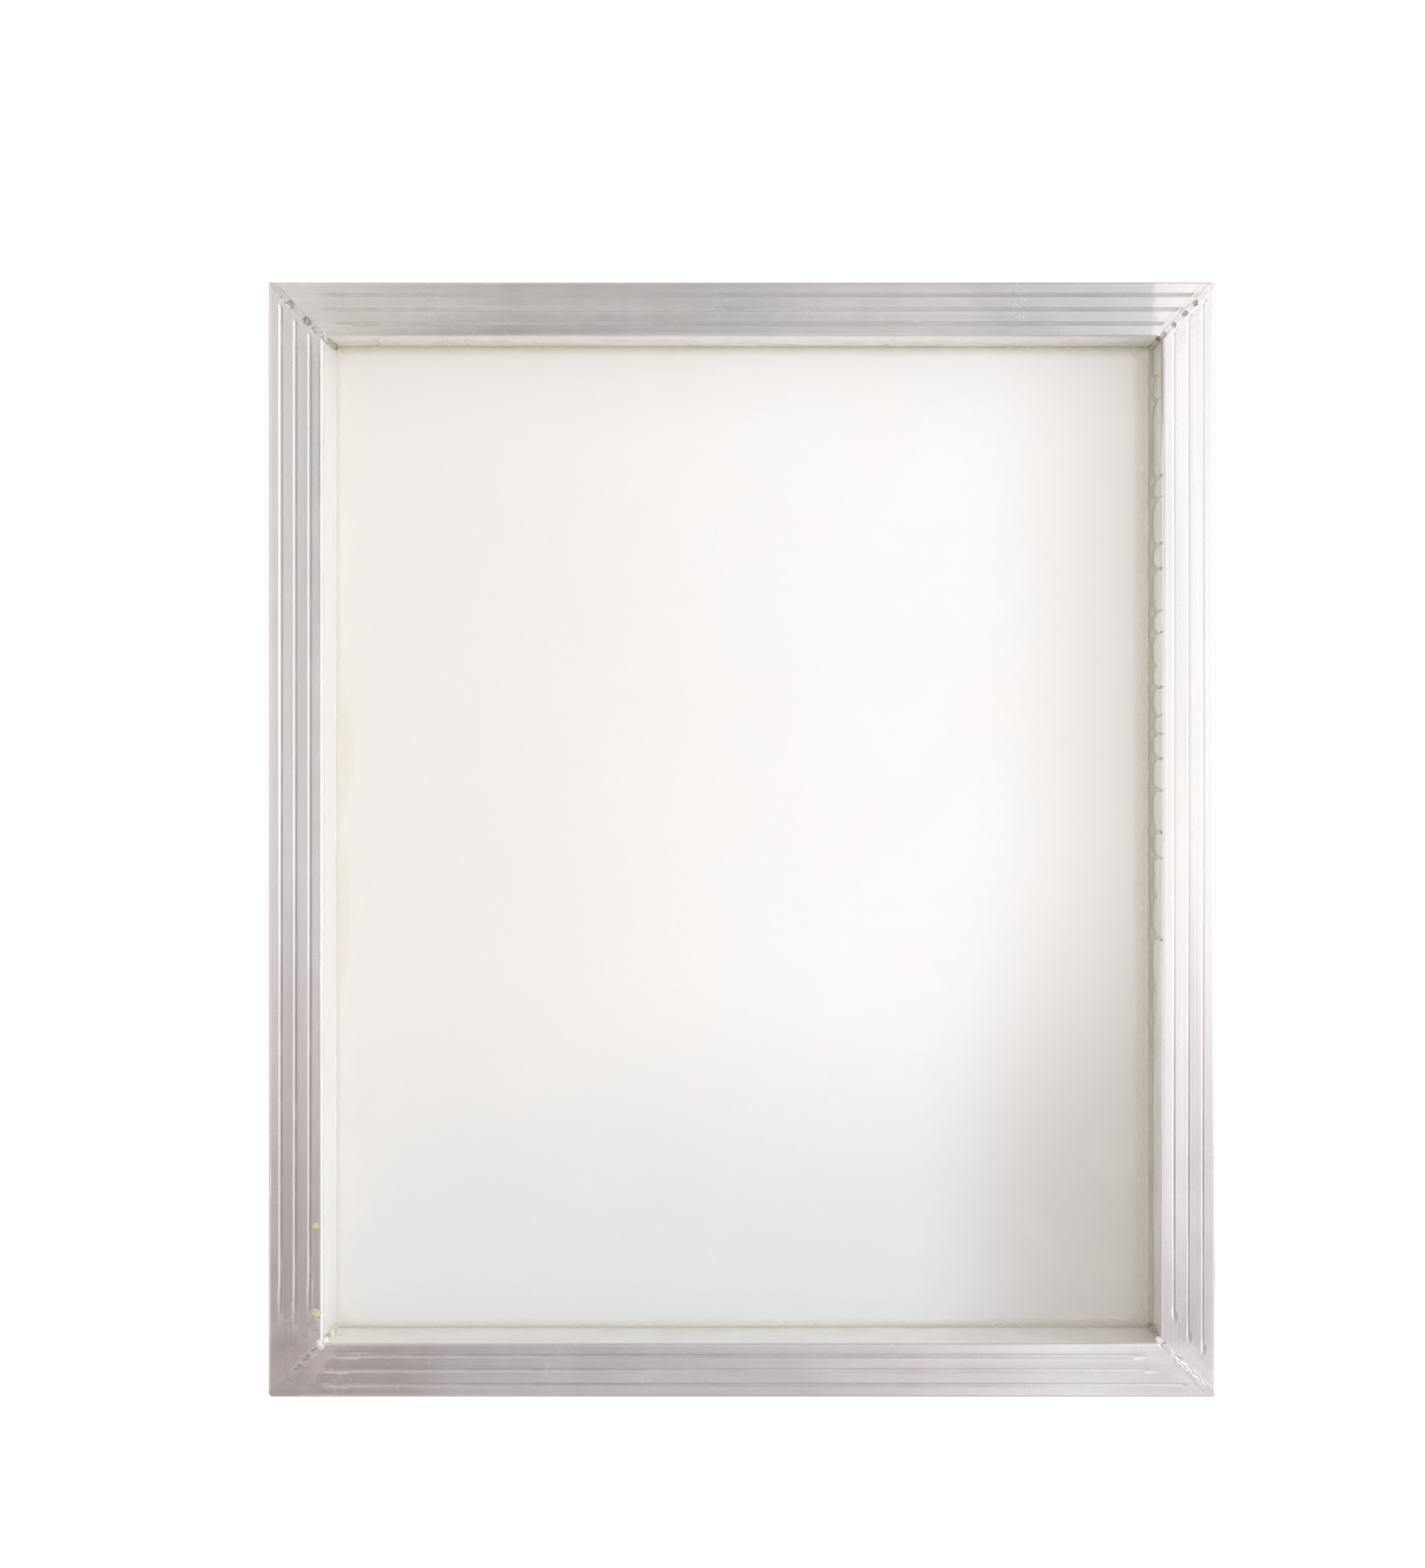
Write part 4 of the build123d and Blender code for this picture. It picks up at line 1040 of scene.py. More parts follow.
def make_outer_weld(corner, seed):
    """Ground vertical seam wrapped round the outside corner."""
    sx, sy, r = CORNERS[corner]
    nw, nvv = 44, 90
    W = np.linspace(-4.4, 4.4, nw)
    # path down the outside of the section: round, wall, round
    path = []
    for ang in np.linspace(62, 0, 9):
        path.append((EDGE_R - EDGE_R * math.cos(math.radians(ang)), Z_TOP - EDGE_R + EDGE_R * math.sin(math.radians(ang)), math.cos(math.radians(ang)), math.sin(math.radians(ang))))
    for zz in np.linspace(Z_TOP - EDGE_R, Z_RAIL + EDGE_R, nvv - 18 + 2)[1:-1]:
        path.append((0.0, zz, 1.0, 0.0))
    for ang in np.linspace(0, -62, 9):
        path.append((EDGE_R - EDGE_R * math.cos(math.radians(ang)), Z_RAIL + EDGE_R + EDGE_R * math.sin(math.radians(ang)), math.cos(math.radians(ang)), math.sin(math.radians(ang))))
    nvv = len(path)
    pu = np.array([p[0] for p in path])[:, None]
    pz = np.array([p[1] for p in path])[:, None]
    no = np.array([p[2] for p in path])[:, None]
    nz = np.array([p[3] for p in path])[:, None]
    w = W[None, :] + np.zeros((nvv, 1))
    zz = pz + np.zeros((1, nw))
    edge = 3.0 + 0.6 * noise1(zz * 0.3, seed + 1) + 0.3 * noise1(zz * 1.1, seed + 2)
    edge2 = 3.0 + 0.6 * noise1(zz * 0.28 + 31, seed + 3) + 0.3 * noise1(zz * 1.3, seed + 4)
    e = np.where(w > 0, edge, edge2)
    feather = smooth(np.abs(w), e, e - 1.5)
    proud = 0.045 + 0.03 * fbm2(zz * 0.3, w * 0.5, seed + 5) + 0.02 * fbm2(zz * 1.2, w * 1.1, seed + 6)
    off = proud * feather - 0.10 * (1 - feather)
    dirt_and_shade = np.zeros_like(off)
    rng = np.random.RandomState(seed)
    for _ in range(5):
        mz, mw = rng.uniform(3, 23), rng.uniform(-1.2, 1.2)
        mr, md = rng.uniform(0.35, 0.9), rng.uniform(0.15, 0.45)
        dist = np.hypot(zz - mz, w - mw) / mr * (1 + 0.25 * noise2(zz, w, seed + 8))
        bowl = np.clip(1 - dist, 0, 1)
        off = off - md * smooth(bowl, 0, 0.8)
        dirt_and_shade = np.maximum(dirt_and_shade, smooth(bowl, 0.1, 0.7) * 0.9)
    uo = pu - off * no
    z3 = zz + off * nz

    def plan(w, uo):
        a = np.where(w >= 0, np.maximum(w, 0) + uo, uo)
        b = np.where(w >= 0, uo, np.maximum(-w, 0) + uo)
        return plan_point(a, b, corner)

    x, y = plan(w, uo)
    top = np.column_stack([x.ravel(), y.ravel(), z3.ravel()])
    x, y = plan(w * 0.35, pu + 0.95 * no + 0 * w)
    bot = np.column_stack([x.ravel(), y.ravel(), (zz - 0.95 * nz).ravel()])
    verts, faces = closed_slab(top, bot, nvv, nw)
    ob = new_object("corner_weld_" + corner, verts, faces, MAT_SEAM, sharp=60,
                    attrs={"dirt_and_shade": np.concatenate([dirt_and_shade.ravel(), np.zeros(dirt_and_shade.size)])})
    fix_normals(ob)
    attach(ob, "root")
    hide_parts("weld_outer_" + corner)
    return ob


# extra lumps on the inner beads: (z, across -1..1, radius, stand-off, dirt)
BEAD_LUMPS = {
    "back_left": [(24.3, 0.0, 1.5, 0.5, 0.5), (6.0, 0.3, 1.6, 0.7, 0.7), (3.4, -0.2, 1.8, 0.9, 0.8)],
    "back_right": [(24.6, 0.1, 1.9, 0.9, 1.0), (22.9, 0.5, 1.1, 0.5, 0.8), (4.5, -0.3, 2.0, 0.9, 0.3)],
    "front_left": [(24.4, 0.0, 2.6, 2.0, 0.0), (8.0, 0.2, 1.4, 0.7, 0.2), (4.0, -0.3, 1.6, 0.9, 0.2)],
    "front_right": [(24.2, 0.0, 2.2, 1.5, 0.0), (13.5, 0.2, 1.3, 0.6, 0.5), (4.0, 0.2, 2.0, 1.0, 0.6)],
}


def make_inner_bead(corner, seed):
    sx, sy, r = CORNERS[corner]
    nz, nt = 110, 26
    Z = np.linspace(1.4, Z_TOP - 0.12, nz)
    T = np.linspace(-1, 1, nt)
    zz, tt = np.meshgrid(Z, T, indexing="ij")
    leg = 2.35 + 0.35 * noise1(zz * 0.25, seed) + 0.18 * noise1(zz * 0.9, seed + 1)
    # stacked ripples, sagging in the middle
    phase = (zz + 0.55 * (1 - tt ** 2)) / 1.35
    ripple = 0.09 * (1 - np.abs((phase % 1.0) * 2 - 1) ** 2)
    bulge = 0.30 + 0.10 * noise1(zz * 0.4, seed + 2)
    # section: from one wall to the other, a chord with a bulge
    along = (tt + 1) / 2
    ca, cb = leg * (1 - along), leg * along           # off wall B, off wall A
    push = (bulge * (1 - tt ** 2) * leg * 0.7 + ripple * np.sqrt(np.clip(1 - tt ** 2, 0, 1)))
    dirt_and_shade = 0.12 + 0.25 * np.clip(noise2(zz * 0.6, tt * 2, seed + 3), 0, 1)
    for (mz, mt, mr, mo, md) in BEAD_LUMPS[corner]:
        dist = np.hypot(zz - mz, (tt - mt) * 2.0) / mr * (1 + 0.15 * noise2(zz * 1.5, tt * 2, seed + 4))
        k = np.clip(1 - dist ** 2, 0, 1)
        push = push + mo * np.sqrt(k) * np.clip(1.15 - tt ** 2, 0, 1)
        dirt_and_shade = np.maximum(dirt_and_shade, md * smooth(k, 0.0, 0.6))
    # rounded ends
    endk = np.sqrt(np.clip((Z_TOP - 0.1 - zz) / 1.3, 0, 1)) * np.sqrt(np.clip((zz - 1.2) / 1.2, 0, 1))
    push = push * (0.45 + 0.55 * endk)
    ca, cb = ca * (0.45 + 0.55 * endk), cb * (0.45 + 0.55 * endk)
    da = cb + push * 0.7071 - 0.06
    db = ca + push * 0.7071 - 0.06
    x = sx * (IW - da)
    y = sy * (IL - db)
    top = np.column_stack([x.ravel(), y.ravel(), zz.ravel()])
    bot = np.column_stack([np.full(zz.size, sx * (IW + 0.5)), np.full(zz.size, sy * (IL + 0.5)), zz.ravel()])
    k = 0.08
    bot[:, 0] -= sx * (da.ravel() * k)
    bot[:, 1] -= sy * (db.ravel() * k)
    glue_and_highlight = {"front_left": 1.0, "front_right": 1.0, "back_left": 0.35, "back_right": 0.0}[corner]
    glue_and_highlight = glue_and_highlight * smooth(zz, 20.5, 22.5) * np.clip(1.15 + 0.9 * noise2(zz * 0.9, tt * 1.6, seed + 8), 0, 1)
    if corner == "front_left":
        # whitened nearly all the way down as well, a painted highlight along the bead
        glue_and_highlight = np.maximum(glue_and_highlight, np.clip(0.62 + 0.9 * noise2(zz * 0.5, tt * 1.1, seed + 9), 0, 1))
        dirt_and_shade = dirt_and_shade * 0.35
    verts, faces = closed_slab(top, bot, nz, nt)
    ob = new_object("corner_bead_" + corner, verts, faces, MAT_WELD, sharp=70,
                    attrs={"dirt_and_shade": np.concatenate([dirt_and_shade.ravel(), np.zeros(dirt_and_shade.size)]),
                           "haze": np.concatenate([glue_and_highlight.ravel(), np.zeros(dirt_and_shade.size)])})
    fix_normals(ob)
    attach(ob, "root")
    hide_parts("weld_inner_" + corner)
    return ob


for i, c in enumerate(CORNERS):
    make_face_weld(c, 100 + 20 * i)
    make_outer_weld(c, 200 + 20 * i)
    make_inner_bead(c, 300 + 20 * i)
    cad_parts["weld_under_" + c].data.materials.clear()
    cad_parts["weld_under_" + c].data.materials.append(MAT_SEAM)


# ---------------------------------------------------------------------------
# Mesh: taut cloth with the faint unevenness of real tension, and short thread
# ends along its trimmed edges
# ---------------------------------------------------------------------------
def bleed_width(side, pos):
    """How far the adhesive has crept over the mesh from the inner wall."""
    pos = np.asarray(pos, float)
    base = {"left": 3.7, "right": 10.5, "back": 5.0, "front": 4.2}[side]
    seed = {"left": 501, "right": 523, "back": 541, "front": 563}[side]
    w = base + 0.35 * noise1(pos * 0.05, seed) + 0.20 * noise1(pos * 0.22, seed + 1) + 0.10 * noise1(pos * 0.9, seed + 2)
    if side == "left":
        w = w + 6.0 * smooth(pos, 0, 38) * smooth(pos, 90, 66) * (1 + 0.10 * noise1(pos * 0.16, 7))
        w = w + 4.6 * smooth(pos, -88, -64) * smooth(pos, 4, -14) * (1 + 0.12 * noise1(pos * 0.2, 8))
    return w


def soak_at(x, y):
    """1 over the glued margin of the mesh, fading just past the adhesive."""
    dl = x + IW - bleed_width("left", y)
    dr = IW - x - bleed_width("right", y)
    db = IL - y - bleed_width("back", x)
    df = y + IL - bleed_width("front", x)
    # strength, and how softly it fades, on each side
    soak = 0.25 * (1 - smooth(dl, -4.0, 2.5))
    soak = np.maximum(soak, (0.75 + 0.1 * noise1(x * 0.9, 531)) * (1 - smooth(dr, -8.5, 3.0)))
    soak = np.maximum(soak, (0.50 + 0.3 * smooth(x, 120, 210)) * (1 - smooth(db, -4.0, 3.0)))
    soak = np.maximum(soak, (0.20 + 0.6 * smooth(x, 90, 200)) * (1 - smooth(df, -3.0, 2.5)))
    return soak


def make_mesh():
    def stations(half, inner):
        edge = [0, 0.6, 2, 6, 12, 18, 24]
        outer = [half - e for e in edge]
        wall = list(np.arange(inner + 1.0, inner - 14.0, -0.9))
        rest = list(np.arange(inner - 17.0, 0, -9.0))
        pos = sorted(set(round(v, 3) for v in outer + wall + rest if v > 0.5))
        return np.array([-v for v in reversed(pos)] + [0.0] + pos)

    X, Y = stations(MESH_HW, IW), stations(MESH_HL, IL)
    nx, ny = len(X), len(Y)
    xx, yy = np.meshgrid(X, Y, indexing="ij")
    inside = smooth(IW - np.abs(xx), -1, 14) * smooth(IL - np.abs(yy), -1, 14)
    # slack lines running in from the corners, and broad drift
    cx, cy = np.abs(xx) - IW, np.abs(yy) - IL
    rad = np.hypot(cx, cy)
    fan = np.arctan2(-cy, -cx + 1e-6)
    ripple = 0.035 * np.sin(fan * 26 + 3 * noise2(xx * 0.02, yy * 0.02, 61)) * np.exp(-rad / 55.0) * smooth(rad, 4, 22)
    drift = 0.045 * fbm2(xx * 0.011, yy * 0.011, 71) + 0.012 * fbm2(xx * 0.05, yy * 0.05, 73)
    lift = (ripple + drift + 0.02) * inside
    # the trimmed edge is not perfectly straight
    cut_x = np.where(np.abs(xx) >= MESH_HW - 0.01, 0.22 * noise1(yy * 0.12, 81) - 0.15, 0.0)
    cut_y = np.where(np.abs(yy) >= MESH_HL - 0.01, 0.22 * noise1(xx * 0.12, 83) - 0.15, 0.0)
    px, py = xx + np.sign(xx) * cut_x, yy + np.sign(yy) * cut_y
    top = np.column_stack([px.ravel(), py.ravel(), (Z_MESH1 + lift).ravel()])
    bot = np.column_stack([px.ravel(), py.ravel(), (Z_MESH0 + lift).ravel()])
    soak = soak_at(xx, yy).ravel()
    verts, faces = closed_slab(top, bot, nx, ny)
    ob = new_object("mesh_cloth", verts, faces, MAT_MESH, sharp=40, attrs={"soak": np.concatenate([soak, soak])})
    fix_normals(ob)
    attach(ob, "root")
    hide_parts("screen_mesh")
    return ob


def make_thread_ends():
    """Cut ends of single threads standing out of the trimmed edge."""
    rng = np.random.RandomState(91)
    verts, faces = [], []
    for side in range(4):
        half = MESH_HL if side < 2 else MESH_HW
        reach = MESH_HW if side < 2 else MESH_HL
        sgn = -1 if side % 2 == 0 else 1
        for pos in np.arange(-half + 3, half - 3, 1.9):
            pos = pos + rng.uniform(-0.8, 0.8)
            length = rng.gamma(2.0, 0.28)
            if length < 0.25:
                continue
            length = min(length, 0.85)
            bend, droop = rng.uniform(-0.5, 0.5), rng.uniform(-0.02, 0.06)
            r = 0.045
            base = len(verts)
            for k in range(4):
                t = k / 3.0
                out = reach - 0.35 + (length + 0.3) * t
                side_off = bend * t * t * length
                zc = (Z_MESH0 + Z_MESH1) / 2 + droop * t * t
                for j in range(5):
                    ang = j * 2 * math.pi / 5
                    c1, c2 = r * math.cos(ang), r * math.sin(ang)
                    if side < 2:
                        verts.append((sgn * out, pos + side_off + c1, zc + c2))
                    else:
                        verts.append((pos + side_off + c1, sgn * out, zc + c2))
            for k in range(3):
                for j in range(5):
                    a = base + k * 5 + j
                    b = base + k * 5 + (j + 1) % 5
                    faces.append((a, b, b + 5, a + 5))
            faces.append(tuple(base + j for j in range(5)))
            faces.append(tuple(base + 15 + j for j in reversed(range(5))))
    ob = new_object("mesh_thread_ends", np.array(verts), faces, MAT_MESH)
    fix_normals(ob)
    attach(ob, "root")
    return ob


make_mesh()
make_thread_ends()


# ---------------------------------------------------------------------------
# Adhesive between the mesh and the rails, bleeding inwards
# ---------------------------------------------------------------------------
SIDES = {
    # side: (start corner inner ends, axis along, outward)
    "front": (np.array([1.0, 0.0]), np.array([0.0, -1.0]), "X"),
    "back": (np.array([1.0, 0.0]), np.array([0.0, 1.0]), "X"),
    "left": (np.array([0.0, 1.0]), np.array([-1.0, 0.0]), "Y"),
    "right": (np.array([0.0, 1.0]), np.array([1.0, 0.0]), "Y"),
}


def make_bond(side):
    """One side of the adhesive layer: under the rail it is flat, and inside the
    well it thins out to an uneven edge. The four sides meet on the mitres."""
    e_s, e_n, axis = SIDES[side]
    half_s = IW if axis == "X" else IL        # half length of this inner wall
    half_n = IL if axis == "X" else IW        # distance of the wall from the centre
    outer = (MESH_HL if axis == "X" else MESH_HW) - half_n
    # cross positions, as distance from the wall: positive under the rail
    cross = [outer, outer - 4, outer - 10, 12.0, 6.0, 2.0, 0.5, 0.0]
    inner_f = [0.12, 0.25, 0.38, 0.5, 0.62, 0.73, 0.83, 0.92, 1.0]
    S = np.linspace(-1, 1, 420)
    rows, thick_rows, pale_rows, dirt_and_shade_rows = [], [], [], []
    seed = {"left": 601, "right": 623, "back": 641, "front": 663}[side]
    for f in S:
        pos = f * half_s
        w = float(bleed_width(side, pos))
        # round the inside corners of the bleed
        end = half_s - abs(pos)
        other = {"front": ("left", "right"), "back": ("left", "right"), "left": ("front", "back"), "right": ("front", "back")}[side]
        wo = {"left": 3.7, "right": 10.5, "back": 5.0, "front": 4.2}[other[0] if f < 0 else other[1]]
        R = 3.4
        d = end - wo
        if 0 <= d < R:
            w += R - math.sqrt(max(R * R - (R - d) ** 2, 0.0))
        elif d < 0:
            w += R
        pale_at = {"left": 1.0, "front": 0.9 - 0.8 * float(smooth(pos, 90, 200)), "back": 0.60 - 0.35 * float(smooth(pos, 120, 210)),
                   "right": 0.30}[side]
        line, th, pl, di = [], [], [], []
        for c in cross:
            s = f * (half_s + c)
            line.append((s, half_n + c, Z_RAIL - 0.002))
            th.append(0.25)
            pl.append(0.0)
            di.append(0.0)
        for k in inner_f:
            c = -w * k
            # keep inside the mitre: this side ends where its neighbour starts
            s = math.copysign(min(abs(pos), half_s + c), pos) if abs(pos) > half_s + c else pos
            t = 0.16 * (1 - k ** 2) ** 1.3 + 0.03 * float(noise2(pos * 0.3, k * 4, seed)) * (1 - k) + 0.004
            line.append((s, half_n + c, Z_MESH1 + 0.02 + t))
            th.append(0.036 + t * 0.95)
            pl.append(pale_at)
            di.append(0.0)
        rows.append(line)
        thick_rows.append(th)
        pale_rows.append(pl)
        dirt_and_shade_rows.append(di)
    arr = np.array(rows)
    nS, nC = arr.shape[0], arr.shape[1]
    s, nn, zz = arr[..., 0], arr[..., 1], arr[..., 2]
    x = s * e_s[0] + nn * e_n[0]
    y = s * e_s[1] + nn * e_n[1]
    top = np.column_stack([x.ravel(), y.ravel(), zz.ravel()])
    bot = top.copy()
    bot[:, 2] = Z_MESH1 - 0.01
    verts, faces = closed_slab(top, bot, nS, nC)
    th = np.array(thick_rows).ravel()
    pl = np.array(pale_rows).ravel()
    return verts, faces, np.concatenate([th, th]), np.concatenate([pl, pl])


def join_parts(parts):
    verts, faces, attrs, base = [], [], [], 0
    for v, f, *at in parts:
        verts.append(v)
        faces += [tuple(i + base for i in face) for face in f]
        attrs.append(at)
        base += len(v)
    cols = [np.concatenate([a[k] for a in attrs]) for k in range(len(attrs[0]))]
    return np.vstack(verts), faces, cols


parts = [make_bond(s) for s in ("front", "back", "left", "right")]
v, f, (th, pl) = join_parts(parts)
bond = new_object("bond_and_bleed", v, f, MAT_FILM, sharp=40, attrs={"thick": th, "pale": pl, "dirt_and_shade": np.zeros(len(v))})
fix_normals(bond)
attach(bond, "root")
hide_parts("adhesive_bond")


# ---------------------------------------------------------------------------
# Adhesive on the inner walls: the fillet in the angle, and the runs above it
# ---------------------------------------------------------------------------
# (position along the wall, width, top level, dark droplet at the top?)
RUNS = {
    "right": [
        (251.3, 1.3, 24.4, 0.3), (238.5, 1.2, 24.8, 0.0), (196.1, 1.7, 24.5, 0.8), (184.9, 1.2, 24.3, 0.5),
        (159.8, 1.4, 24.5, 0.7), (146.5, 1.9, 24.6, 0.9), (123.5, 1.5, 24.4, 0.6), (111.8, 1.3, 24.5, 0.8),
        (94.4, 1.4, 13.0, 0.0), (82.2, 1.7, 24.5, 0.8), (66.8, 1.4, 24.4, 0.5), (57.1, 1.2, 24.5, 0.6),
        (43.8, 1.6, 24.6, 0.9), (26.4, 1.4, 24.4, 0.7), (4.0, 1.8, 24.6, 0.9), (-9.8, 1.3, 24.4, 0.4),
        (-19.5, 1.6, 8.0, 0.0), (-31.8, 1.4, 14.0, 0.2), (-53.8, 1.7, 24.5, 0.8), (-81.4, 1.6, 8.0, 0.0),
        (-101.8, 1.4, 7.0, 0.0),
    ],
    "back": [
        (-200.1, 5.5, 17.0, 0.0), (-191.0, 4.0, 12.0, 0.0), (-162.2, 3.0, 22.0, 0.1), (-151.0, 1.8, 15.0, 0.0),
        (-113.6, 1.4, 20.0, 0.0), (78.7, 2.2, 6.5, 0.2),
    ],
    "left": [],
    "front": [],
}


def wall_glue(side):
    """Height field of adhesive on one inner wall, as (thickness, dirt and painted shade) over a
    grid of position along the wall and height above the underside."""
    axis = SIDES[side][2]
    half_s = IW if axis == "X" else IL
    runs = RUNS[side]
    seed = {"left": 701, "right": 723, "back": 741, "front": 763}[side]
    step = 0.42 if side == "right" else 0.6 if side == "back" else 1.3
    S = np.arange(-half_s + 0.2, half_s - 0.19, step)
    S = np.append(S, half_s - 0.2)
    Zs = np.concatenate([
        np.linspace(Z_RAIL - 0.06, Z_RAIL + 3.2, 15),
        np.linspace(Z_RAIL + 3.7, Z_TOP + 0.05, 38 if runs else 2),
    ])
    if side == "front":
        Zs = np.linspace(Z_RAIL - 0.06, Z_RAIL + 4.6, 20)
    if side == "left":
        Zs = np.concatenate([np.linspace(Z_RAIL - 0.06, Z_RAIL + 3.2, 15), np.linspace(Z_RAIL + 4.0, Z_TOP - 0.1, 24)])
    ss, zz = np.meshgrid(S, Zs, indexing="ij")
    # fillet: leg up the wall and leg over the mesh, both uneven
    up = {"left": 1.7, "right": 2.3, "back": 1.6, "front": 1.5}[side]
    up = up + 0.45 * noise1(ss * 0.07, seed) + 0.25 * noise1(ss * 0.31, seed + 1)
    over = {"left": 0.5, "right": 1.6, "back": 0.7, "front": 0.6}[side] + 0.15 * noise1(ss * 0.09, seed + 2)
    # webs hang between neighbouring runs
    for (pos, w, top, drop) in runs:
        climb = min(top - Z_RAIL, 22.0 if side == "right" else 6.0) * (0.85 if side == "right" else 0.4)
        up = up + climb * np.exp(-np.abs(ss - pos) / (2.1 if side == "right" else 2.0 + w * 0.6))
    over = over + 0.04 * (up - 2.0)
    hz = zz - Z_RAIL
    k = np.clip(1 - hz / np.maximum(up, 0.3), 0, 1)
    concave = 1 - np.sqrt(np.clip(1 - k ** 2, 0, 1))
    t = over * concave + (0.30 if side == "right" else 0.10) * smooth(k, 0.0, 0.12) - 0.03
    thick = t.copy()
    # runs: thin ridges that narrow upwards
    dirt_and_shade = 0.0 * ss
    for (pos, w, top, drop) in runs:
        drift = pos + 0.35 * noise1(zz * 0.12, seed + int(abs(pos)) + 3) + 0.10 * noise1(zz * 0.6, seed + int(abs(pos)) + 4)
        width = w * (1.7 if side == "right" else 1.0) * (0.62 + 0.38 * (1 - smooth(zz, 2, top))) * (1 + 0.15 * noise1(zz * 0.5, seed + int(abs(pos)) + 5))
        prof = np.sqrt(np.clip(1 - ((ss - drift) / (width / 2)) ** 2, 0, 1))
        tall = 0.34 * (1 + 0.2 * noise1(zz * 0.35, seed + int(abs(pos)) + 6))
        if side == "back":
            tall = tall * 0.6
        live = 1 - smooth(zz, top - 0.7, top + 0.1)
        ridge = tall * prof * live - 0.03
        t = np.maximum(t, ridge)
        # a bead where the run stopped
        rr = (0.85 if drop > 0 else 0.6) * (0.8 + 0.2 * w)
        cz = min(top - 0.3, Z_TOP - 1.15)
        bead = np.sqrt(np.clip(1 - ((ss - drift) ** 2 + ((zz - cz) * 0.85) ** 2) / rr ** 2, 0, 1))
        t = np.maximum(t, (0.45 + 0.35 * drop) * rr * bead - 0.03)
        dirt_and_shade = np.maximum(dirt_and_shade, drop * smooth(bead, 0.1, 0.7))
        dirt_and_shade = np.maximum(dirt_and_shade, 0.25 * drop * prof * live)
    if side == "back":
        # a thin sheet of adhesive wiped over the lower wall
        wipe = 0.05 * smooth(fbm2(ss * 0.05, zz * 0.22, seed + 8), -0.25, 0.25) * (1 - smooth(zz, 8, 21)) - 0.015
        t = np.maximum(t, wipe)
    if side == "left":
        # a pale sheet of it over nearly the whole wall, with an uneven top
        head = 22.6 + 1.3 * noise1(ss * 0.035, seed + 8) + 0.5 * noise1(ss * 0.2, seed + 10)
        sheet = (0.07 + 0.03 * fbm2(ss * 0.06, zz * 0.15, seed + 11)) * (1 - smooth(zz, head - 1.6, head)) - 0.012
        t = np.maximum(t, sheet)
        thick = np.maximum(thick, 0.35 * (1 - smooth(zz, head - 2.5, head)))
    # painted shade: a dark line low in the angle, stronger towards the right end of the back and front, and none on the
    # left
    seam = np.exp(-((hz - 0.35) / (0.42 if side == "right" else 0.28)) ** 2) * (0.72 + 0.28 * noise1(ss * 0.08, seed + 9))
    strength = {"left": 0.0, "right": 0.75, "back": 0.62, "front": 0.60}[side]
    if side == "front":
        seam = seam * (0.10 + 0.90 * smooth(ss, 90, 200))
    if side == "back":
        seam = seam * (0.65 + 0.35 * smooth(ss, -60, 200))
        # the odd darker dash
        seam = seam * (1 + 0.9 * smooth(noise1(ss * 0.045, seed + 17), 0.45, 0.75))
    dirt_and_shade = np.maximum(dirt_and_shade, strength * seam)
    # painted shade over all the adhesive on the right wall, which faces away from the light
    if side == "right":
        dirt_and_shade = np.maximum(dirt_and_shade, 0.20 * smooth(t, 0.0, 0.12))
    return ss, zz, t, np.clip(dirt_and_shade, 0, 1), np.maximum(0.8 * t, thick if side == "left" else 0.0)


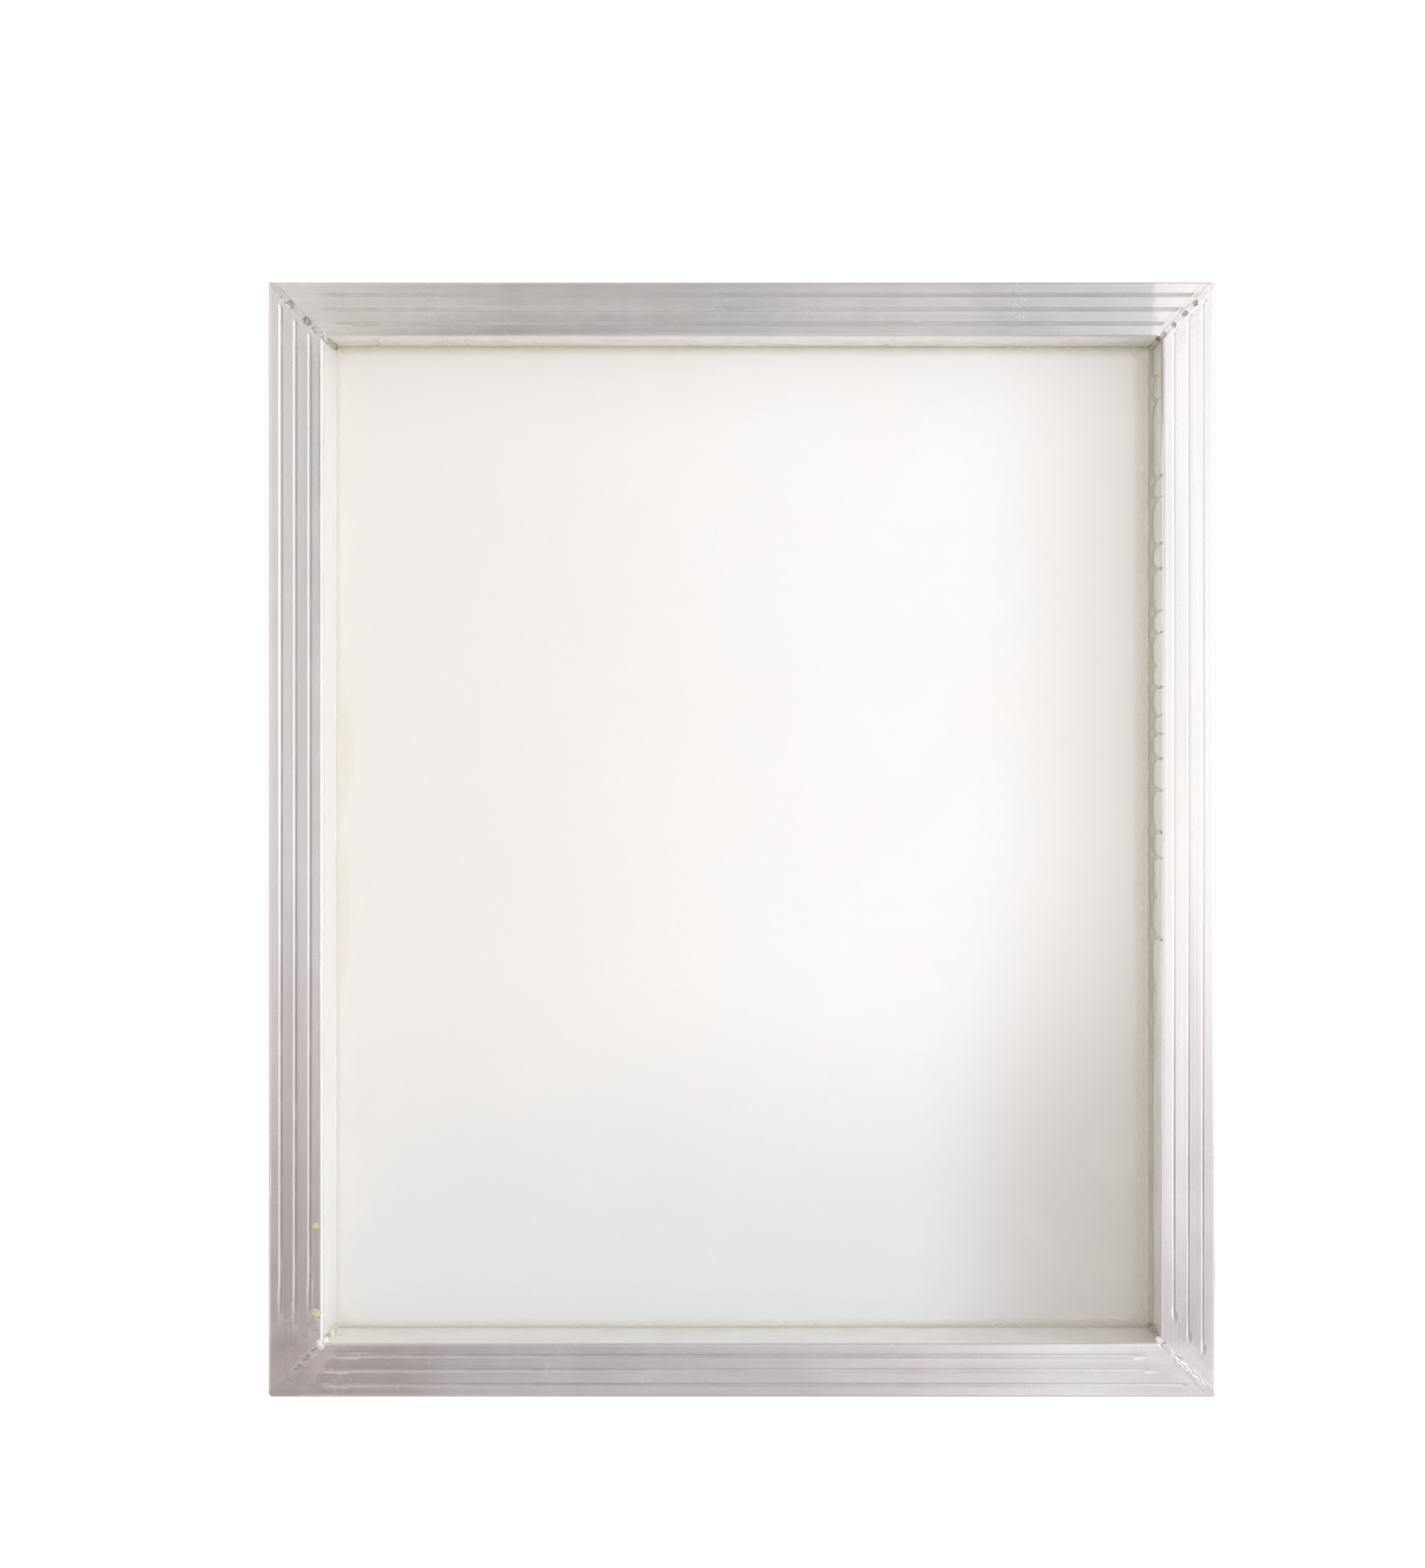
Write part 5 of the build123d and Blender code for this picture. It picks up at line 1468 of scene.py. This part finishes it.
def make_wall_glue(side):
    e_s, e_n, axis = SIDES[side]
    half_n = IL if axis == "X" else IW
    ss, zz, t, dirt_and_shade, thick = wall_glue(side)
    nS, nZ = ss.shape
    # the wall's own surface, following its rounded upper and lower edges
    back = np.zeros_like(zz)
    lowk = np.clip((Z_RAIL + EDGE_R - zz) / EDGE_R, 0, 1)
    back = back + EDGE_R * (1 - np.sqrt(1 - np.clip(lowk, 0, 1) ** 2)) * 0.0
    topk = np.clip((zz - (Z_TOP - EDGE_R)) / EDGE_R, 0, 0.98)
    back = back + EDGE_R * (1 - np.sqrt(1 - topk ** 2))
    nn = half_n + back - t
    x = ss * e_s[0] + nn * e_n[0]
    y = ss * e_s[1] + nn * e_n[1]
    # hidden face, just inside the wall
    nb = half_n + back + 0.35
    xb = ss * e_s[0] + nb * e_n[0]
    yb = ss * e_s[1] + nb * e_n[1]
    front_v = np.column_stack([x.ravel(), y.ravel(), zz.ravel()])
    back_v = np.column_stack([xb.ravel(), yb.ravel(), zz.ravel()])
    keep = t > -0.005
    # a quad is kept when any of its corners carries adhesive
    quad = keep[:-1, :-1] | keep[1:, :-1] | keep[:-1, 1:] | keep[1:, 1:]
    n = nS * nZ
    faces = []
    idx = lambda i, j: i * nZ + j
    qi, qj = np.nonzero(quad)
    for i, j in zip(qi.tolist(), qj.tolist()):
        a, b, c, d = idx(i, j), idx(i, j + 1), idx(i + 1, j + 1), idx(i + 1, j)
        faces.append((a, b, c, d))
        faces.append((a + n, d + n, c + n, b + n))
        if i == 0 or not quad[i - 1, j]:
            faces.append((a, a + n, b + n, b))
        if i == nS - 2 or not quad[i + 1, j]:
            faces.append((d, c, c + n, d + n))
        if j == 0 or not quad[i, j - 1]:
            faces.append((a, d, d + n, a + n))
        if j == nZ - 2 or not quad[i, j + 1]:
            faces.append((b, b + n, c + n, c))
    verts = np.vstack([front_v, back_v])
    used = np.zeros(len(verts), bool)
    for fc in faces:
        used[list(fc)] = True
    remap = -np.ones(len(verts), int)
    remap[used] = np.arange(used.sum())
    faces = [tuple(int(remap[i]) for i in fc) for fc in faces]
    pale = {"left": 1.0, "right": 0.0, "back": 0.15, "front": 0.45}[side]
    at = {
        "thick": np.concatenate([np.maximum(thick, 0).ravel()] * 2)[used],
        "dirt_and_shade": np.concatenate([dirt_and_shade.ravel()] * 2)[used],
        "pale": np.full(int(used.sum()), pale),
    }
    ob = new_object("wall_adhesive_" + side, verts[used], faces, MAT_GLUE, sharp=80, attrs=at)
    fix_normals(ob)
    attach(ob, "root")
    names = ["adhesive_fillet_" + side]
    if side in ("right", "back"):
        names.append("adhesive_runs_" + side)
    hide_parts(*names)
    return ob


for side in ("left", "right", "back", "front"):
    make_wall_glue(side)


# ---------------------------------------------------------------------------
# Adhesive brushed over the mesh margin on the underside
# ---------------------------------------------------------------------------
def make_coat():
    parts = []
    for side, (e_s, e_n, axis) in SIDES.items():
        half_s = IW if axis == "X" else IL
        half_n = IL if axis == "X" else IW
        outer = (COAT_HL if axis == "X" else COAT_HW) - half_n
        seed = {"left": 801, "right": 823, "back": 841, "front": 863}[side]
        F = np.linspace(-1, 1, 300)
        C = np.array([outer, outer - 0.7, outer - 2, outer - 6, outer - 10, outer - 14, 9.0, 5.0, 2.0, 0.6, -0.6, -1.6, -2.2, -2.5])
        ff, cc = np.meshgrid(F, C, indexing="ij")
        pos = ff * half_s
        ragged = 0.35 * noise1(pos * 0.16, seed) + 0.15 * noise1(pos * 0.7, seed + 1)
        cc2 = cc + np.where(cc < -0.5, ragged * (-cc / 2.5), 0.0) - np.where(cc > outer - 1.0, np.abs(ragged) * 0.8, 0.0)
        s = ff * (half_s + cc2)
        nn = half_n + cc2
        t = 0.10 + 0.018 * noise2(pos * 0.05, cc * 0.9, seed + 2) + 0.008 * noise2(pos * 0.4, cc * 2.5, seed + 3)
        fade = smooth(cc, -2.6, -1.0) * smooth(cc, outer + 0.1, outer - 1.2)
        t = np.minimum(0.015 + t * fade, Z_COAT1 - Z_COAT0 - 0.001)
        x = s * e_s[0] + nn * e_n[0]
        y = s * e_s[1] + nn * e_n[1]
        low = np.column_stack([x.ravel(), y.ravel(), (Z_COAT1 - t).ravel()])
        up = np.column_stack([x.ravel(), y.ravel(), np.full(x.size, Z_COAT1 + 0.004)])
        v, f = closed_slab(up, low, *ff.shape)
        th = np.concatenate([(0.1 + 2.0 * t).ravel()] * 2)
        clean = {"left": 1.0, "right": 0.0, "back": 0.0, "front": 1.0}[side] * np.ones_like(pos)
        if side == "front":
            clean = smooth(pos, 140, 20)
        pl = np.concatenate([(0.55 + 0.45 * clean * smooth(cc, 4.0, 0.0)).ravel()] * 2)
        parts.append((v, f, th, pl))
    v, f, (th, pl) = join_parts(parts)
    ob = new_object("brushed_coat", v, f, MAT_FILM, sharp=60, attrs={"thick": th, "dirt_and_shade": np.zeros(len(v)), "pale": pl})
    fix_normals(ob)
    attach(ob, "root")
    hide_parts("adhesive_coat")


make_coat()


# ---------------------------------------------------------------------------
# Spots of adhesive on the left rail and at the front left inner corner
# ---------------------------------------------------------------------------
def make_spots():
    lo, hi = node_box("adhesive_spots")
    spots = [(-229.4, -100.8, 1.5, 0.26), (-229.2, -207.6, 2.1, 0.32), (-228.9, -254.6, 2.5, 0.34),
             (-228.6, -258.0, 1.1, 0.16), (-230.6, -98.2, 0.7, 0.12), (-227.4, -271.9, 2.9, 0.36)]
    parts = []
    for k, (cx, cy, r, h) in enumerate(spots):
        nr, na = 12, 34
        verts, thick = [], []
        ang = np.linspace(0, 2 * math.pi, na, endpoint=False)
        lob = 1 + 0.22 * noise1(ang * 1.3, 901 + k) * np.sin(ang / 2) ** 2 + 0.12 * np.sin(2 * ang + k)
        for i in range(1, nr + 1):
            f = i / nr
            for j in range(na):
                rr = r * f * lob[j]
                px, py = cx + rr * math.cos(ang[j]), cy + rr * math.sin(ang[j])
                u = min(px + HW, py + HL)
                base = Z_TOP - float(edge_drop(np.clip(u, 0, RAIL_W)))
                if u > RAIL_W:
                    base -= 0.55 * (u - RAIL_W) ** 2
                hh = h * (1 - f ** 2.4) * (1 + 0.25 * float(noise2(px * 1.1, py * 1.1, 905 + k)))
                verts.append((px, py, base + hh - (0.05 if i == nr else 0.0)))
                thick.append(0.25 + hh * 1.6)
        top_c = len(verts)
        verts.append((cx, cy, Z_TOP + h))
        thick.append(0.25 + h * 1.6)
        bot_c = len(verts)
        verts.append((cx, cy, Z_TOP - 0.2))
        thick.append(0.2)
        faces = []
        for j in range(na):
            faces.append((top_c, j, (j + 1) % na))
            faces.append((bot_c, (nr - 1) * na + (j + 1) % na, (nr - 1) * na + j))
        for i in range(nr - 1):
            for j in range(na):
                a, b = i * na + j, i * na + (j + 1) % na
                faces.append((a, a + na, b + na, b))
        arr = np.array(verts)
        # the one on the corner is milky towards the well, and stained beside it
        milky = np.zeros(len(arr))
        stain = np.full(len(arr), 0.06)
        if k == len(spots) - 1:
            milky = smooth(arr[:, 0] + arr[:, 1] - (cx + cy), -1.6, 0.6)
            stain = 0.06 + 0.75 * np.exp(-(np.hypot(arr[:, 0] - cx + 1.6, arr[:, 1] - cy + 1.5) / 0.8) ** 2)
        parts.append((arr, faces, np.array(thick), milky, stain))
    v, f, (th, milky, stain) = join_parts(parts)
    ob = new_object("adhesive_drips", v, f, MAT_SPOT, sharp=80, attrs={"thick": th, "dirt_and_shade": stain, "pale": milky})
    fix_normals(ob)
    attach(ob, "root")
    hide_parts("adhesive_spots")


make_spots()


# ---------------------------------------------------------------------------
# Floor, light, camera
# ---------------------------------------------------------------------------
def make_floor():
    m, n = material("pale_floor")
    vec, x, y, z = n.coords()
    tone = n.noise(vec, 0.004, 2.0, 0.5)
    col = n.mix(tone, (0.34, 0.34, 0.34), (0.36, 0.36, 0.36))
    df = n.node("ShaderNodeBsdfDiffuse")
    n.put(df.inputs["Color"], col)
    # a glowing sweep: to the camera it glows brighter where it is seen through the cloth, a painted glow that lifts the
    # cloth,
    #     and dimmer round the frame for the light it throws, so that the rounded outer edges read against it
    path = n.node("ShaderNodeLightPath")
    inside = n.mul(n.ramp(x, IW + 6.0, IW - 6.0), n.ramp(n.absv(y), IL + 6.0, IL - 6.0))
    inside = n.mul(inside, n.ramp(x, -IW - 16.0, -IW - 4.0))
    seen = n.mixf(inside, 0.80, 1.02)
    under = n.mul(n.ramp(n.absv(x), HW - 0.6, HW - 2.5), n.ramp(n.absv(y), HL - 0.6, HL - 2.5))
    thrown = n.mixf(under, 0.12, 0.95)
    em = n.node("ShaderNodeEmission")
    n.put(em.inputs["Color"], (1.0, 1.0, 1.0))
    n.put(em.inputs["Strength"], n.mixf(path.outputs["Is Camera Ray"], thrown, seen))
    both = n.node("ShaderNodeAddShader")
    n.put(both.inputs[0], df.outputs[0])
    n.put(both.inputs[1], em.outputs[0])
    clear = n.node("ShaderNodeBsdfTransparent")
    geo = n.node("ShaderNodeNewGeometry")
    mix = n.node("ShaderNodeMixShader")
    n.put(mix.inputs[0], geo.outputs["Backfacing"])
    n.put(mix.inputs[1], both.outputs[0])
    n.put(mix.inputs[2], clear.outputs[0])
    n.surface(mix.outputs[0])
    me = bpy.data.meshes.new("floor")
    bm = bmesh.new()
    bmesh.ops.create_grid(bm, x_segments=12, y_segments=12, size=6.0)
    for v in bm.verts:
        v.co.z = -0.00006
    bm.to_mesh(me)
    bm.free()
    me.materials.append(m)
    ob = bpy.data.objects.new("floor", me)
    bpy.context.scene.collection.objects.link(ob)


make_floor()


def make_world():
    """A plain white studio: soft light all round, a large bright source up and
    to the right, and a dimmer area overhead where the camera stands."""
    w = bpy.data.worlds.new("studio")
    bpy.context.scene.world = w
    w.use_nodes = True
    n = Nodes(w.node_tree)
    tc = n.node("ShaderNodeTexCoord")
    sep = n.node("ShaderNodeSeparateXYZ")
    n.put(sep.inputs[0], tc.outputs["Generated"])
    dx, dy, dz = sep.outputs
    zc = n.maxv(dz, 0.02)
    tx, ty = n.div(dx, zc), n.div(dy, zc)
    rad = n.math("SQRT", n.add(n.mul(tx, tx), n.mul(ty, ty)))

    # overhead part, as the flat faces see it: dimmer over the left and the
    # front, a long white source over the right
    left = n.curve(ty, [(-0.40, 0.09), (-0.34, 0.20), (-0.30, 0.335), (-0.20, 0.74), (-0.05, 0.81), (0.25, 0.87)])
    back = n.curve(tx, [(-0.26, 0.20), (-0.20, 0.285), (-0.10, 0.43), (-0.05, 0.45), (0.02, 0.57), (0.07, 0.66), (0.10, 0.60), (0.16, 0.40)])
    front = n.curve(tx, [(-0.32, 0.14), (-0.28, 0.24), (-0.24, 0.31), (-0.20, 0.385), (-0.09, 0.49), (0.06, 0.54), (0.10, 0.54), (0.125, 1.26), (0.168, 1.38), (0.185, 0.46), (0.20, 0.42)])
    middle = n.mixf(n.ramp(ty, -0.30, 0.18), front, back)
    centre = n.mul(n.ramp(n.absv(tx), 0.22, 0.10), n.mul(n.ramp(ty, -0.30, -0.18), n.ramp(ty, 0.16, 0.04)))
    middle = n.mixf(centre, middle, 0.80)
    right = n.curve(ty, [(-0.38, 0.50), (-0.32, 0.54), (-0.26, 0.77), (-0.20, 1.22), (-0.15, 1.50), (-0.10, 1.38), (-0.05, 1.33), (0.0, 1.38), (0.20, 1.40), (0.26, 1.20)])
    v = n.mixf(n.ramp(tx, -0.294, -0.260), left, middle)
    v = n.mixf(n.ramp(n.mad(ty, 0.10, tx), 0.188, 0.238), v, right)
    # the room round it: bright to the right and front, dim to the left and back
    across = n.div(dx, n.maxv(n.math("SQRT", n.add(n.mul(dx, dx), n.mul(dy, dy))), 0.001))
    side = n.curve(n.mad(across, 0.5, 0.5), [(0.0, 0.98), (0.22, 0.90), (0.40, 0.52), (0.60, 0.52), (0.76, 1.22), (0.92, 1.50)])
    room = n.mixf(n.ramp(rad, 0.52, 0.85), v, side)
    horizon = n.ramp(dz, 0.30, 0.12)
    room = n.mixf(horizon, room, n.mul(side, 0.82))
    lower = n.ramp(dz, 0.0, -0.05)
    room = n.mixf(lower, room, 0.8)
    warm = n.mix(n.ramp(tx, -0.4, 0.3), (1.0, 0.975, 0.965), (1.0, 0.99, 0.995))
    bg = n.node("ShaderNodeBackground")
    n.put(bg.inputs["Color"], warm)
    n.put(bg.inputs["Strength"], room)
    out = n.node("ShaderNodeOutputWorld")
    n.put(out.inputs["Surface"], bg.outputs[0])


make_world()

# camera: square on from the squeegee side, standing right of and behind the
# centre, with the lens shifted to frame it
PX = 0.51136                      # millimetres per pixel on the upper face, 1500 x 1650
CAM_X, CAM_Y = 37.3, 57.6         # where the optical axis meets the frame
CAM_H = 900.0                     # above the upper face
cam_data = bpy.data.cameras.new("camera")
cam = bpy.data.objects.new("camera", cam_data)
bpy.context.scene.collection.objects.link(cam)
bpy.context.scene.camera = cam
cam.location = (CAM_X * MM, CAM_Y * MM, (Z_TOP + CAM_H) * MM)
cam.rotation_euler = (0.0, 0.0, 0.0)
cam_data.sensor_width = 36.0
cam_data.lens = 36.0 / 1650.0 / PX * CAM_H
cam_data.clip_start, cam_data.clip_end = 0.01, 100.0
shift = (-104.0 / 1650.0, -54.0 / 1650.0)
# the shift belongs to this viewpoint only: from any other place the lens is
# centred again
for k, prop in enumerate(("shift_x", "shift_y")):
    d = cam_data.driver_add(prop).driver
    d.type = "SCRIPTED"
    for name, kind in (("x", "LOC_X"), ("y", "LOC_Y"), ("z", "LOC_Z")):
        var = d.variables.new()
        var.name = name
        var.type = "TRANSFORMS"
        var.targets[0].id = cam
        var.targets[0].transform_type = kind
        var.targets[0].transform_space = "WORLD_SPACE"
    d.expression = "%.6f * (abs(x - %.6f) < 0.0005) * (abs(y - %.6f) < 0.0005) * (abs(z - %.6f) < 0.0005)" % (
        shift[k], CAM_X * MM, CAM_Y * MM, (Z_TOP + CAM_H) * MM)

sc = bpy.context.scene
sc.view_settings.view_transform = "Standard"
sc.view_settings.look = "None"
sc.view_settings.exposure = 0.0
sc.view_settings.gamma = 1.0
sc.cycles.transparent_max_bounces = 16
sc.cycles.max_bounces = 12
